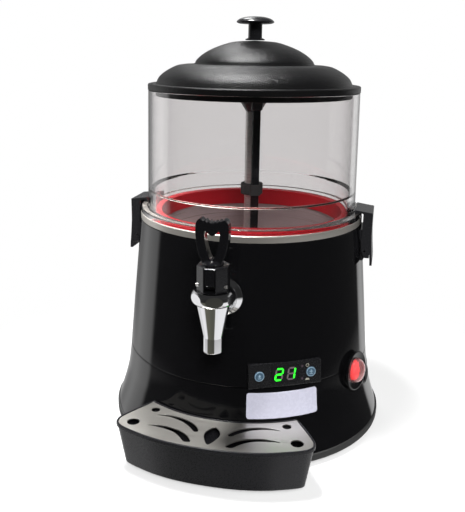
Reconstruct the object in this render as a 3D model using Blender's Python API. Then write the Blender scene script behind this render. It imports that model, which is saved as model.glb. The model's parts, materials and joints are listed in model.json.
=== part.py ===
import math

import bmesh
import bpy
from mathutils import Matrix, Vector

# Heated drink dispenser with a clear bowl, a stirrer, a lever tap and a drip tray.
# Metres, +Z up, the tap faces -Y. Heights are above the floor, radii from the body axis.

# Shared fits
GAP = 0.0003
SEAT = 0.0004
CUT_OVERRUN = 0.004
SHEET = 0.0012
WALL = 0.003
HALF_SHARE = 0.5
ROUND_STEPS = 32
MIDDLE_STEPS = 24
SMALL_STEPS = 16
SMOOTH_DEG = 32.0
SLIVER = 0.00001
FULL_TURN_DEG = 360.0
RIGHT_DEG = 90.0
REAR_DEG = 180.0
LEFT_DEG = -90.0
BORE_REACH = -0.075

# Radii of the housing, from the neck outwards and downwards
NECK_R = 0.1186
SEAM_OUT = 0.0137
SEAM_R = NECK_R + SEAM_OUT
FLARE_OUT = 0.0155
FLARE_R = SEAM_R + FLARE_OUT
BASE_LIP = 0.0017
BASE_R = FLARE_R + BASE_LIP

# Floor plate and feet
FOOT_INSET = 0.0315
FOOT_RING_R = BASE_R - FOOT_INSET
PLATE_LIP_INSET = 0.008
PLATE_LIP_R = BASE_R - PLATE_LIP_INSET
FOOT_H = 0.0045
FOOT_R = 0.0115
FOOT_TOP_R = 0.0098
FOOT_FIRST_DEG = 45.0
FOOT_STEP_DEG = 90.0
PLATE_TOP = 0.0122
PLATE_FLOOR = 0.0075
PLATE_LIP_TOP = 0.0165
PLATE_EDGE = 0.0012
VENT_COUNT = 8
VENT_IN_R = 0.046
VENT_OUT_R = 0.078
VENT_HALF = 0.0028

# Flared lower shell: radius and height shares from floor plate to seam
SEAM_Z = 0.0819
SEAM_HALF = 0.0003
SEAM_EDGE = 0.0007
FLARE_SHARES = (
    (1.0, 0.0), (0.9, 0.07), (0.72, 0.19), (0.54, 0.32),
    (0.37, 0.46), (0.22, 0.61), (0.1, 0.79), (0.0, 1.0))
SPIGOT_H = 0.0048
SPIGOT_T = 0.0024
SPIGOT_TAPER = 0.0008
HOLD_Z = 0.055
HOLD_HALF_W = 0.026
HOLD_HALF_H = 0.005

# Upper shell, a slight cone
NECK_LIP_INSET = 0.0058
NECK_LIP_IN_R = NECK_R - NECK_LIP_INSET
NECK_Z = 0.2229
NECK_EDGE = 0.0008

# Steel band on top of the shell and the tanks below it
THROAT_INSET = 0.0201
THROAT_R = NECK_R - THROAT_INSET
PAN_FLANGE_INSET = 0.0106
PAN_FLANGE_R = NECK_R - PAN_FLANGE_INSET
TANK_INSET = 0.0074
TANK_R = NECK_R - TANK_INSET
TANK_FLANGE_INSET = 0.0026
TANK_FLANGE_R = NECK_R - TANK_FLANGE_INSET
BAND_RISE = 0.0066
BAND_TOP = NECK_Z + BAND_RISE
BOWL_RISE = 0.1251
BOWL_TOP = BAND_TOP + BOWL_RISE
BAND_T = 0.0014
BAND_EDGE = 0.0009
PAN_FLOOR = 0.1585
PAN_CORNER = 0.0042
TANK_FLOOR = 0.1452
TANK_CORNER = 0.006

# Stirrer drive
TUBE_R = 0.0078
TUBE_BORE_R = 0.0058
TUBE_TOP_DROP = 0.0214
TUBE_TOP = BOWL_TOP - TUBE_TOP_DROP
TUBE_FLANGE_R = 0.0165
TUBE_FLANGE_T = 0.0028
GEAR_TOP = 0.129
GEAR_R = 0.034
GEAR_LOW = 0.0963
GEAR_BORE_DEEP = 0.014
MOTOR_R = 0.0285
MOTOR_LOW = 0.0423
MOTOR_CAP_R = 0.011
MOTOR_CAP_H = 0.0035
BRACKET_HALF_X = 0.044
BRACKET_HALF_Y = 0.036
BRACKET_TOP = 0.0385
BRACKET_T = 0.0022
BRACKET_HOLE_R = 0.0135
BRACKET_FOOT_W = 0.012
SHAFT_R = 0.0042
SHAFT_RISE = 0.0073
SHAFT_TOP = TUBE_TOP + SHAFT_RISE

# Heating ring in the water space
HEAT_RING_R = 0.066
HEAT_ROD_R = 0.0032
HEAT_Z = 0.1513
HEAT_POST_LOW = 0.137
HEAT_POST_DEG = 7.0
HEAT_ROUND_STEPS = 22
HEAT_SIDE_STEPS = 6

# Stirrer
STIR_DEG = 28.0
HUB_GAP = 0.0005
HUB_LOW = TUBE_TOP + HUB_GAP
HUB_FLARE_RISE = 0.0083
HUB_FLARE_Z = HUB_LOW + HUB_FLARE_RISE
HUB_R = 0.0131
HUB_RISE = 0.0155
HUB_TOP = HUB_LOW + HUB_RISE
HUB_CROWN_R = 0.0095
BAR_IN_R = 0.0092
BAR_T = 0.0042
BAR_HALF_W = 0.0041
BAR_TOP_RISE = 0.0068
BAR_TOP = HUB_LOW + BAR_TOP_RISE
BAR_LOW = 0.1665
LUG_WALL = 0.0016
LUG_LOW_RISE = 0.0018
LUG_LOW = HUB_LOW + LUG_LOW_RISE
LUG_TOP_RISE = 0.0105
LUG_TOP = HUB_LOW + LUG_TOP_RISE
CLIP_LOW = 0.2465
CLIP_TOP = 0.2583
CLIP_R = 0.0118
PADDLE_LOW = 0.1605
PADDLE_TOP = 0.1745
PADDLE_HUB_R = 0.0125
BLADE_REACH = 0.086
BLADE_T = 0.0024
BLADE_LEAN_SHARE = 0.45
BLADE_STEPS = 8
BLADE_BEND = 0.016
BLADE_TIP_SHARE = 0.55

# Clear bowl
BOWL_FLANGE_R = NECK_R - GAP
BOWL_FLANGE_RISE = 0.0051
BOWL_FLANGE_TOP = BAND_TOP + BOWL_FLANGE_RISE
BOWL_FOOT_INSET = 0.0078
BOWL_FOOT_R = NECK_R - BOWL_FOOT_INSET
BOWL_TAPER = 0.0022
BOWL_TOP_R = BOWL_FOOT_R - BOWL_TAPER
BOWL_WALL = 0.003
BOWL_LEDGE_RISE = 0.025
BOWL_LEDGE_Z = BAND_TOP + BOWL_LEDGE_RISE
BOWL_LEDGE_INSET = 0.0063
BOWL_LEDGE_R = BOWL_FOOT_R - BOWL_LEDGE_INSET
BOWL_LEDGE_DROP = 0.0016
BOWL_FILLET = 0.001
BOWL_LIP_EDGE = 0.0008
GASKET_INSET = 0.022
GASKET_IN_R = NECK_R - GASKET_INSET
GASKET_DROP = 0.0149
GASKET_LOW = BAND_TOP - GASKET_DROP
GASKET_RISE = 0.0029
GASKET_TOP = BAND_TOP + GASKET_RISE
GASKET_LIP_INSET = 0.0124
GASKET_LIP_R = NECK_R - GASKET_LIP_INSET
GASKET_LIP_EDGE = 0.0006

# Lid
LID_PROUD = 0.0004
LID_R = BOWL_TOP_R + LID_PROUD
LID_RIM_H = 0.0058
LID_WALL = 0.0028
SKIRT_INSET = 0.0074
SKIRT_R = BOWL_TOP_R - SKIRT_INSET
SKIRT_H = 0.006
SKIRT_T = 0.0024
DOME_INSET = 0.0078
LOWER_DOME_R = BOWL_TOP_R - DOME_INSET
LOWER_DOME_H = 0.0198
STEP_R = 0.0618
UPPER_DOME_H = 0.0232
LOWER_DOME_SHARES = ((1.0, 0.0), (0.965, 0.34), (0.895, 0.63), (0.79, 0.9), (0.7, 0.985))
UPPER_DOME_SHARES = (
    (0.978, 0.04), (0.97, 0.17), (0.9, 0.34), (0.8, 0.49), (0.66, 0.64), (0.48, 0.8), (0.3, 0.93))
STEP_GROOVE = 0.0008
KNOB_STEM_R = 0.007
KNOB_STEM_LOW_R = 0.0098
LID_CROWN = BOWL_TOP + SEAT + LID_RIM_H + LOWER_DOME_H + UPPER_DOME_H
KNOB_CLEAR = 0.0158
KNOB_UNDER = LID_CROWN + KNOB_CLEAR
KNOB_R = 0.0188
KNOB_CAP_H = 0.0074
KNOB_TOP = KNOB_UNDER + KNOB_CAP_H
KNOB_FOOT_H = 0.0022
KNOB_CAP_SHARES = ((0.52, 0.0), (0.86, 0.06), (1.0, 0.22), (0.98, 0.42), (0.8, 0.72), (0.45, 0.94))

# Side latches, written for the right-hand side
LATCH_HALF_W = 0.020
LATCH_PLATE_T = 0.0025
PIN_PROUD = 0.0054
LATCH_PIN_X = NECK_R + PIN_PROUD
LATCH_PIN_Z = 0.1965
LATCH_PIN_R = 0.0015
LATCH_CHEEK_T = 0.0025
LATCH_TIP_Z = 0.1815
LATCH_TOP_RISE = 0.0022
LATCH_TOP_Z = BOWL_FLANGE_TOP + LATCH_TOP_RISE
LATCH_PROUD = 0.0116
LATCH_OUT_X = NECK_R + LATCH_PROUD
HOOK_INSET = 0.0065
HOOK_IN_X = NECK_R - HOOK_INSET
HOOK_RISE = 0.0048
HOOK_TOP_Z = BOWL_FLANGE_TOP + HOOK_RISE
HOOK_TOOTH_T = 0.0026
HOOK_TOOTH_GAP = 0.0004
HOOK_TOOTH_LOW = BOWL_FLANGE_TOP + HOOK_TOOTH_GAP
LATCH_BACK_SHARES = (
    (0.0, 0.0), (0.0, 0.36), (0.16, 0.52), (0.5, 0.72), (0.9, 0.9), (1.0, 1.0))
LATCH_FLARE = 0.0024
CHEEK_IN_PROUD = 0.001
CHEEK_IN_X = NECK_R + CHEEK_IN_PROUD
CHEEK_MID_PROUD = 0.0024
CHEEK_MID_X = NECK_R + CHEEK_MID_PROUD
CHEEK_LOW_PROUD = 0.0051
CHEEK_LOW_X = NECK_R + CHEEK_LOW_PROUD
CHEEK_LOW = 0.1893
CHEEK_TOP = 0.209
BRACKET_PROUD = 0.007
BRACKET_OUT_X = NECK_R + BRACKET_PROUD
BRACKET_INSET = 0.0046
BRACKET_IN_X = NECK_R - BRACKET_INSET
BRACKET_LOW_Z = 0.1856
BRACKET_MID_Z = 0.1925
BRACKET_SHOULDER_Z = 0.206
BRACKET_HEAD_Z = 0.2185
BRACKET_HEAD_PROUD = 0.005
BRACKET_HEAD_X = NECK_R + BRACKET_HEAD_PROUD
BRACKET_TOE_PROUD = 0.0043
BRACKET_TOE_X = NECK_R + BRACKET_TOE_PROUD

# Tap on the front centre line
TAP_STANDOFF = 0.0464
TAP_REACH = NECK_R + TAP_STANDOFF
SPOUT_LOW = 0.1336
SPOUT_R = 0.0088
SPOUT_BORE_R = 0.0062
SPOUT_TOP = 0.1485
SPOUT_LIP = 0.0008
CONE_TOP = 0.1795
CONE_R = 0.0151
RING_LOW = 0.1803
RING_TOP = 0.1924
RING_R = 0.0197
RING_FLAT = 0.01845
RING_EDGE_SHARE = 0.9
RING_WAIST_R = 0.0153
TAP_SEAT_Z = 0.168
CHAMBER_R = 0.0095
SHANK_Z = 0.1735
SHANK_R = 0.008
SHANK_BORE_R = 0.0052
SHANK_IN_INSET = 0.0294
SHANK_IN_R = NECK_R - SHANK_IN_INSET
NUT_R = 0.019
NUT_T = 0.0062
NUT_STEP_R = 0.0142
NUT_STEP_T = 0.003
LOCK_NUT_R = 0.012
LOCK_NUT_T = 0.0048
NUT_SIDES = 6
SEAL_R = 0.0128
SEAL_T = 0.0024
BONNET_R = 0.0149
BONNET_SIDES = 8
BONNET_TOP = 0.216
BONNET_FLOOR = 0.1925
BONNET_PLUG_LOW = 0.1882
BONNET_EDGE = 0.0018
BONNET_SLOT_HALF = 0.005
BONNET_SLOT_BACK = 0.0108
PIVOT_AHEAD = 0.0065
PIVOT_Z = 0.198
PIVOT_R = 0.0016
PIVOT_HALF_L = 0.0139
STEM_R = 0.0018
STEM_LOW = 0.1704
STEM_HEAD_R = 0.0034
STEM_HEAD_H = 0.002
CUP_R = 0.0084
CUP_LOW = 0.1683
CUP_TOP = 0.1738
CUP_NECK_R = 0.0042
CUP_NECK_H = 0.0016
SPRING_R = 0.0058
SPRING_WIRE_R = 0.0005
SPRING_LOW = 0.1744
SPRING_TOP = 0.1874
SPRING_TURNS = 5
SPRING_STEPS = 9
SPRING_SIDES = 4

# Tap lever: a loop with a finger-grip top bar
TANG_HALF = 0.0045
FORK_HALF = 0.0023
TANG_R = 0.004
LOBE_R = 0.002
LEVER_FRONT = 0.0068
LEVER_BACK = 0.0032
LEVER_LOW = 0.2172
LEVER_TOP = 0.2568
LEVER_HALF_W = 0.0146
LEVER_OUT_SHARES = (
    (0.0, 0.0), (0.5, 0.0), (0.66, 0.1), (0.82, 0.25), (0.94, 0.44), (1.0, 0.66), (1.0, 0.83),
    (0.95, 0.93), (0.83, 0.99), (0.66, 1.0), (0.54, 0.955), (0.42, 0.975), (0.3, 0.93),
    (0.18, 0.955), (0.07, 0.915), (0.0, 0.935))
LEVER_HOLE_SHARES = (
    (0.0, 0.08), (0.16, 0.16), (0.3, 0.3), (0.42, 0.5), (0.47, 0.65), (0.44, 0.735),
    (0.32, 0.715), (0.2, 0.675), (0.1, 0.65), (0.0, 0.642))
LEVER_BEVEL = 0.0011

# Drip tray and its grille: shares of half width and of the distance from axis to front
TRAY_HALF_W = 0.0945
TRAY_AHEAD = 0.0408
TRAY_FRONT = BASE_R + TRAY_AHEAD
TRAY_REAR_INSET = 0.0084
TRAY_REAR_R = FLARE_R - TRAY_REAR_INSET
TRAY_FOOT_GAP = 0.0027
TRAY_FOOT_REAR_R = BASE_R + TRAY_FOOT_GAP
TRAY_SIDE_SHARES = (
    (0.0, 1.0), (0.16, 0.998), (0.32, 0.991), (0.48, 0.978), (0.63, 0.959), (0.78, 0.932),
    (0.9, 0.906), (0.96, 0.886), (0.995, 0.857), (0.985, 0.815), (0.9, 0.736), (0.81, 0.662))
TRAY_REAR_DEG = 31.5
TRAY_REAR_STEPS = 6
TRAY_RIM = 0.0022
TRAY_RIM_TOP = 0.0496
TRAY_RIM_LOW = 0.0455
TRAY_WALL = 0.0024
TRAY_TUCK = 0.0013
TRAY_DRAFT = 0.0068
TRAY_LOW = 0.0048
TRAY_FOOT_REAR_DEG = 27.0
TRAY_FLOOR_T = 0.0026
TRAY_LEDGE = 0.0474
GRILLE_T = 0.0012
GRILLE_PLAY = 0.0004
HOLE_BACK_R = 0.0044
HOLE_FRONT_R = 0.0061
HOLE_STEPS = 12
HOLE_BACK_SHARES = (0.698, 0.707)
HOLE_FRONT_SHARES = (0.842, 0.85)
LEAF_SHARES = (
    (0.0, 0.802), (0.065, 0.84), (0.074, 0.892), (0.0, 0.964), (-0.074, 0.892), (-0.065, 0.84))
BACK_CUT_SHARES = (
    (0.651, 0.755), (0.508, 0.745), (0.37, 0.758), (0.249, 0.788), (0.175, 0.828), (0.152, 0.858),
    (0.19, 0.866), (0.241, 0.838), (0.307, 0.808), (0.381, 0.784), (0.508, 0.761))
FRONT_CUT_SHARES = (
    (0.686, 0.862), (0.561, 0.85), (0.455, 0.855), (0.328, 0.876), (0.231, 0.912), (0.175, 0.957),
    (0.212, 0.966), (0.25, 0.962), (0.302, 0.931), (0.381, 0.897), (0.476, 0.878), (0.593, 0.867))

# Control panel, a flat-faced block let into the upper shell
PANEL_DEG = 27.2
PANEL_Z = 0.0953
PANEL_INSET = 0.0009
PANEL_R = SEAM_R - PANEL_INSET
PANEL_TILT_DEG = 5.5
PANEL_HALF_W = 0.0368
PANEL_HALF_H = 0.0122
PANEL_DEEP = 0.014
PANEL_EDGE = 0.0009
PANEL_CUT_OUT = 0.008
WINDOW_HALF_W = 0.0135
WINDOW_HALF_H = 0.0082
WINDOW_T = 0.0012
BUTTON_OUT = 0.0262
BUTTON_R = 0.0049
BUTTON_DEEP = 0.0042
BUTTON_PROUD = 0.0009
BUTTON_TRAVEL_ROOM = 0.0016
BOARD_T = 0.0016
BOARD_EDGE = 0.0015

# Mains switch on the right, across the seam
SWITCH_DEG = 66.5
SWITCH_Z = 0.0775
SWITCH_PROUD = 0.0012
SWITCH_R = SEAM_R + SWITCH_PROUD
SWITCH_TILT_DEG = 6.0
BEZEL_R = 0.0205
BEZEL_OUT = 0.005
BEZEL_DEEP = 0.0125
BEZEL_BORE_R = 0.0128
BEZEL_CELL_DEEP = 0.0065
BEZEL_LEDGE_R = 0.0115
BEZEL_EDGE = 0.0016
SHELL_HOLE_R = 0.0182
ROCKER_R = 0.0108
ROCKER_T = 0.0046
ROCKER_RISE = 0.0022
ROCKER_AXIS_OUT = -0.0006
ROCKER_ON_DEG = -7.0
BOOT_R = 0.0126
BOOT_BASE = 0.0006
BOOT_H = 0.0098
BOOT_WALL = 0.001
BOOT_SHARES = ((1.0, 0.0), (1.0, 0.35), (0.93, 0.65), (0.72, 0.88), (0.4, 0.98))

# Rear fittings
GLAND_Z = 0.04
GLAND_R = 0.0085
GLAND_FLANGE_R = 0.0112
GLAND_OUT = 0.0062
GLAND_DEEP = 0.014
GLAND_BORE_R = 0.0038
DRAIN_Z = 0.156
DRAIN_R = 0.0072
DRAIN_HEAD_R = 0.0125
DRAIN_HEAD_T = 0.0058
DRAIN_GRIP_HALF = 0.0022
DRAIN_INSET = 0.0114
DRAIN_IN_R = NECK_R - DRAIN_INSET

# The body axis sits behind the centre of the footprint
AXIS_Y = (TRAY_FRONT + TRAY_RIM - BASE_R) * HALF_SHARE


def wipe_scene():
    for thing in list(bpy.data.objects):
        bpy.data.objects.remove(thing, do_unlink=True)


def material(name, colour, roughness, metallic=0.0, transmission=0.0, glow=0.0):
    made = bpy.data.materials.new(name)
    made.use_nodes = True
    shader = made.node_tree.nodes["Principled BSDF"]
    shader.inputs["Base Color"].default_value = (*colour, 1.0)
    shader.inputs["Roughness"].default_value = roughness
    shader.inputs["Metallic"].default_value = metallic
    shader.inputs["Transmission Weight"].default_value = transmission
    shader.inputs["Emission Color"].default_value = (*colour, 1.0)
    shader.inputs["Emission Strength"].default_value = glow
    return made


FINISHES = {
    "gloss_black": ((0.012, 0.012, 0.014), 0.12, 0.0, 0.0, 0.0),
    "satin_black": ((0.018, 0.018, 0.019), 0.45, 0.0, 0.0, 0.0),
    "matt_black": ((0.025, 0.025, 0.026), 0.6, 0.0, 0.0, 0.0),
    "steel": ((0.62, 0.6, 0.57), 0.28, 1.0, 0.0, 0.0),
    "chrome": ((0.8, 0.8, 0.82), 0.08, 1.0, 0.0, 0.0),
    "clear": ((0.93, 0.92, 0.95), 0.05, 0.0, 0.9, 0.0),
    "red_silicone": ((0.62, 0.02, 0.02), 0.4, 0.0, 0.0, 0.0),
    "red_lamp": ((0.85, 0.03, 0.03), 0.3, 0.0, 0.2, 0.6),
    "blue_key": ((0.16, 0.26, 0.36), 0.35, 0.0, 0.0, 0.0),
    "board_green": ((0.03, 0.16, 0.07), 0.5, 0.0, 0.0, 0.0),
    "rubber": ((0.03, 0.03, 0.03), 0.85, 0.0, 0.0, 0.0),
    "smoke": ((0.1, 0.1, 0.105), 0.3, 0.0, 0.0, 0.0),
}


def settle(name, verts, faces, finish, origin=(0.0, 0.0, 0.0), smooth_deg=SMOOTH_DEG):
    """Make one object; its origin goes to the given point, on the joint axis if it moves."""
    start = Vector(origin)
    mesh = bpy.data.meshes.new(name)
    mesh.from_pydata([tuple(Vector(v) - start) for v in verts], [], faces)
    mesh.validate()
    thing = bpy.data.objects.new(name, mesh)
    bpy.context.scene.collection.objects.link(thing)
    thing.location = start + Vector((0.0, AXIS_Y, 0.0))
    mesh.materials.append(material(name + "_finish", *FINISHES[finish]))
    bpy.context.view_layer.update()
    outward(thing)
    smooth(thing, smooth_deg)
    return thing


def outward(thing):
    bpy.context.view_layer.objects.active = thing
    thing.select_set(True)
    bpy.ops.object.mode_set(mode="EDIT")
    bpy.ops.mesh.select_all(action="SELECT")
    bpy.ops.mesh.normals_make_consistent(inside=False)
    bpy.ops.object.mode_set(mode="OBJECT")
    thing.select_set(False)


def smooth(thing, angle_deg):
    for face in thing.data.polygons:
        face.use_smooth = True
    thing.data.set_sharp_from_angle(angle=math.radians(angle_deg))


def tidy_faces(mesh):
    """Split many-sided faces and drop slivers, so that the next boolean stays closed."""
    work = bmesh.new()
    work.from_mesh(mesh)
    bmesh.ops.dissolve_degenerate(work, dist=SLIVER, edges=work.edges[:])
    many = [face for face in work.faces if len(face.verts) > 4]
    bmesh.ops.triangulate(work, faces=many)
    work.to_mesh(mesh)
    work.free()


def combine(thing, tool, operation):
    """Boolean with a helper solid, which is removed afterwards."""
    step = thing.modifiers.new("combine", "BOOLEAN")
    step.operation = operation
    step.solver = "EXACT"
    step.object = tool
    bpy.context.view_layer.update()
    graph = bpy.context.evaluated_depsgraph_get()
    result = bpy.data.meshes.new_from_object(thing.evaluated_get(graph))
    thing.modifiers.clear()
    thing.data = result
    while len(result.materials) > 1:
        result.materials.pop()
    for face in result.polygons:
        face.material_index = 0
    bpy.data.objects.remove(tool, do_unlink=True)
    tidy_faces(result)
    smooth(thing, SMOOTH_DEG)


def bevel(thing, width, steps=1, limit_deg=50.0):
    step = thing.modifiers.new("edge", "BEVEL")
    step.width = width
    step.segments = steps
    step.limit_method = "ANGLE"
    step.angle_limit = math.radians(limit_deg)


def revolve(profile, steps=ROUND_STEPS, frame=None):
    """Turn a closed (radius, height) outline about the frame's Z axis."""
    place = frame or Matrix.Identity(4)
    verts = []
    rows = []
    for radius, height in profile:
        if radius <= 0.0:
            verts.append(place @ Vector((0.0, 0.0, height)))
            rows.append([len(verts) - 1] * steps)
            continue
        row = []
        for step in range(steps):
            turn = math.tau * step / steps
            verts.append(place @ Vector((radius * math.cos(turn), radius * math.sin(turn), height)))
            row.append(len(verts) - 1)
        rows.append(row)
    faces = []
    for index, low in enumerate(rows):
        high = rows[(index + 1) % len(rows)]
        for step in range(steps):
            after = (step + 1) % steps
            corners = [low[step], low[after], high[after], high[step]]
            unique = list(dict.fromkeys(corners))
            if len(unique) > 2:
                faces.append(unique)
    return verts, faces


def prism(outline, low, high, frame=None):
    """Straight solid on a closed (x, y) outline between two levels of the frame's Z."""
    place = frame or Matrix.Identity(4)
    count = len(outline)
    verts = [place @ Vector((x, y, low)) for x, y in outline]
    verts += [place @ Vector((x, y, high)) for x, y in outline]
    faces = [list(range(count))[::-1], list(range(count, count + count))]
    for index in range(count):
        after = (index + 1) % count
        faces.append([index, after, count + after, count + index])
    return verts, faces


def loft(loops):
    """Solid through matching closed loops of points, capped at both ends."""
    count = len(loops[0])
    verts = [Vector(point) for loop in loops for point in loop]
    faces = [list(range(count))[::-1]]
    for level in range(len(loops) - 1):
        low = level * count
        high = low + count
        for index in range(count):
            after = (index + 1) % count
            faces.append([low + index, low + after, high + after, high + index])
    last = (len(loops) - 1) * count
    faces.append(list(range(last, last + count)))
    return verts, faces


def box_outline(half_x, half_y):
    return [(-half_x, -half_y), (half_x, -half_y), (half_x, half_y), (-half_x, half_y)]


def circle_outline(radius, steps, centre=(0.0, 0.0), first_share=0.0):
    turns = [math.tau * (step + first_share) / steps for step in range(steps)]
    return [(centre[0] + radius * math.cos(t), centre[1] + radius * math.sin(t)) for t in turns]


def axes_frame(origin, x_axis, z_axis):
    """Placement whose Z runs along z_axis and whose X is nearest to x_axis."""
    z_dir = Vector(z_axis).normalized()
    y_dir = z_dir.cross(Vector(x_axis)).normalized()
    x_dir = y_dir.cross(z_dir)
    turn = Matrix((x_dir, y_dir, z_dir)).transposed().to_4x4()
    return Matrix.Translation(Vector(origin)) @ turn


def heading(degrees):
    """Unit direction on the plan, 0 at the front and 90 at the right-hand side."""
    turn = math.radians(degrees)
    return Vector((math.sin(turn), -math.cos(turn), 0.0))


def face_frame(degrees, radius, height, tilt_deg):
    """Frame on the body's side: X to the right, Y up the face, Z outward."""
    out = heading(degrees)
    tilt = math.radians(tilt_deg)
    normal = out * math.cos(tilt) + Vector((0.0, 0.0, math.sin(tilt)))
    across = Vector((-out.y, out.x, 0.0))
    origin = out * radius + Vector((0.0, 0.0, height))
    return axes_frame(origin, across, normal)


def spoke_frame(degrees):
    """Frame on the axis: X points outward on the heading, Z stays up."""
    return axes_frame((0.0, 0.0, 0.0), heading(degrees), (0.0, 0.0, 1.0))


def shell_radius(height):
    """Outer radius of the upper shell."""
    share = (height - SEAM_Z) / (NECK_Z - SEAM_Z)
    return SEAM_R + (NECK_R - SEAM_R) * share


def wall_reach(radius, half_width):
    """Distance from the axis at which a part of this half width meets a round wall's inside."""
    return radius - half_width * math.tan(math.pi / ROUND_STEPS)


def flare_profile(inset):
    low = PLATE_TOP + GAP
    high = SEAM_Z - SEAM_HALF
    points = []
    for out_share, up_share in FLARE_SHARES:
        radius = SEAM_R + (FLARE_R - SEAM_R) * out_share - inset
        points.append((radius, low + (high - low) * up_share))
    return points


def flare_radius(height):
    """Outer radius of the lower shell."""
    points = flare_profile(0.0)
    for (low_r, low_z), (high_r, high_z) in zip(points, points[1:]):
        if low_z <= height <= high_z:
            return low_r + (high_r - low_r) * (height - low_z) / (high_z - low_z)
    return FLARE_R


def add_floor_plate():
    lip_in = PLATE_LIP_R - WALL
    profile = [
        (0.0, FOOT_H), (BASE_R - PLATE_EDGE, FOOT_H), (BASE_R, FOOT_H + PLATE_EDGE),
        (BASE_R, PLATE_TOP - PLATE_EDGE), (BASE_R - PLATE_EDGE, PLATE_TOP),
        (PLATE_LIP_R, PLATE_TOP), (PLATE_LIP_R, PLATE_LIP_TOP), (lip_in, PLATE_LIP_TOP),
        (lip_in, PLATE_FLOOR), (0.0, PLATE_FLOOR)]
    plate = settle("floor_plate", *revolve(profile, ROUND_STEPS), "matt_black")
    outline = [
        (VENT_IN_R, -VENT_HALF), (VENT_OUT_R, -VENT_HALF),
        (VENT_OUT_R, VENT_HALF), (VENT_IN_R, VENT_HALF)]
    for index in range(VENT_COUNT):
        turn = spoke_frame(FULL_TURN_DEG * (index + HALF_SHARE) / VENT_COUNT)
        slot = settle("vent_tool", *prism(outline, 0.0, PLATE_TOP, turn), "matt_black")
        combine(plate, slot, "DIFFERENCE")


def add_feet():
    profile = [(0.0, 0.0), (FOOT_TOP_R, 0.0), (FOOT_R, FOOT_H - GAP), (0.0, FOOT_H - GAP)]
    for index, side in enumerate(("front_right", "back_right", "back_left", "front_left")):
        spot = heading(FOOT_FIRST_DEG + FOOT_STEP_DEG * index) * FOOT_RING_R
        settle("foot_" + side, *revolve(profile, SMALL_STEPS, Matrix.Translation(spot)), "rubber")


def round_tool(name, radius, near, far, frame, steps=SMALL_STEPS):
    return settle(name, *prism(circle_outline(radius, steps), near, far, frame), "matt_black")


def bore_wall(thing, name, radius, degrees, height):
    """Round hole through the wall on one heading, at one height."""
    frame = face_frame(degrees, BASE_R, height, 0.0)
    combine(thing, round_tool(name, radius, BORE_REACH, BASE_R, frame), "DIFFERENCE")


def add_lower_shell():
    outer = flare_profile(0.0)
    inner = flare_profile(WALL)
    seam = SEAM_Z - SEAM_HALF
    spigot_out = SEAM_R - WALL - SEAT
    spigot_in = spigot_out - SPIGOT_T
    profile = outer[:-1] + [
        (SEAM_R, seam - SEAM_EDGE), (SEAM_R - SEAM_EDGE, seam),
        (spigot_out, seam), (spigot_out - SPIGOT_TAPER, seam + SPIGOT_H), (spigot_in, seam + SPIGOT_H),
        (spigot_in, seam - WALL)] + inner[-2:0:-2] + inner[:1]
    shell = settle("lower_shell", *revolve(profile), "gloss_black")
    hole = round_tool("hole_tool", SHELL_HOLE_R, BORE_REACH, BASE_R, switch_frame(), MIDDLE_STEPS)
    combine(shell, hole, "DIFFERENCE")
    for turn_deg in (RIGHT_DEG, LEFT_DEG):
        frame = face_frame(turn_deg, BASE_R, HOLD_Z, 0.0)
        slot = prism(box_outline(HOLD_HALF_W, HOLD_HALF_H), BORE_REACH, BASE_R, frame)
        combine(shell, settle("grip_tool", *slot, "gloss_black"), "DIFFERENCE")
    bore_wall(shell, "gland_tool", GLAND_R + GAP, REAR_DEG, GLAND_Z)
    combine(shell, panel_tool(), "DIFFERENCE")


def add_upper_shell():
    low = SEAM_Z + SEAM_HALF
    high = NECK_Z - SEAM_HALF
    lip_low = high - WALL
    profile = [
        (SEAM_R - SEAM_EDGE, low), (SEAM_R, low + SEAM_EDGE),
        (shell_radius(high - NECK_EDGE), high - NECK_EDGE), (shell_radius(high) - NECK_EDGE, high),
        (NECK_LIP_IN_R, high), (NECK_LIP_IN_R, lip_low),
        (shell_radius(lip_low) - WALL, lip_low), (SEAM_R - WALL, low)]
    shell = settle("upper_shell", *revolve(profile), "gloss_black")
    hole = round_tool("hole_tool", SHELL_HOLE_R, BORE_REACH, BASE_R, switch_frame(), MIDDLE_STEPS)
    combine(shell, hole, "DIFFERENCE")
    combine(shell, panel_tool(), "DIFFERENCE")
    bore_wall(shell, "shank_tool", SHANK_R + GAP, 0.0, SHANK_Z)
    bore_wall(shell, "drain_tool", DRAIN_R + GAP, REAR_DEG, DRAIN_Z)


def add_band():
    skirt_in = NECK_R - BAND_T
    plate_low = BAND_TOP - BAND_T
    profile = [
        (NECK_R, NECK_Z), (NECK_R, BAND_TOP - BAND_EDGE), (NECK_R - BAND_EDGE, BAND_TOP),
        (THROAT_R + SHEET + GAP, BAND_TOP), (THROAT_R + SHEET + GAP, plate_low),
        (skirt_in, plate_low), (skirt_in, NECK_Z)]
    settle("steel_band", *revolve(profile), "steel")


def pan_levels():
    top = BAND_TOP - BAND_T - GAP
    return top, top - SHEET


def add_pan():
    top, flange_low = pan_levels()
    lip = BAND_TOP
    out = THROAT_R + SHEET
    corner = PAN_CORNER
    hole = TUBE_R + GAP
    profile = [
        (THROAT_R, lip), (THROAT_R, PAN_FLOOR + corner), (THROAT_R - corner, PAN_FLOOR),
        (hole, PAN_FLOOR), (hole, PAN_FLOOR - SHEET), (out - corner, PAN_FLOOR - SHEET),
        (out, PAN_FLOOR - SHEET + corner), (out, flange_low), (PAN_FLANGE_R, flange_low),
        (PAN_FLANGE_R, top), (out, top), (out, lip)]
    pan = settle("drink_pan", *revolve(profile), "steel")
    bore_wall(pan, "shank_tool", SHANK_R + GAP, 0.0, SHANK_Z)


def heat_post_spots():
    turns = (REAR_DEG - HEAT_POST_DEG, REAR_DEG + HEAT_POST_DEG)
    return [heading(turn) * HEAT_RING_R for turn in turns]


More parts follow.
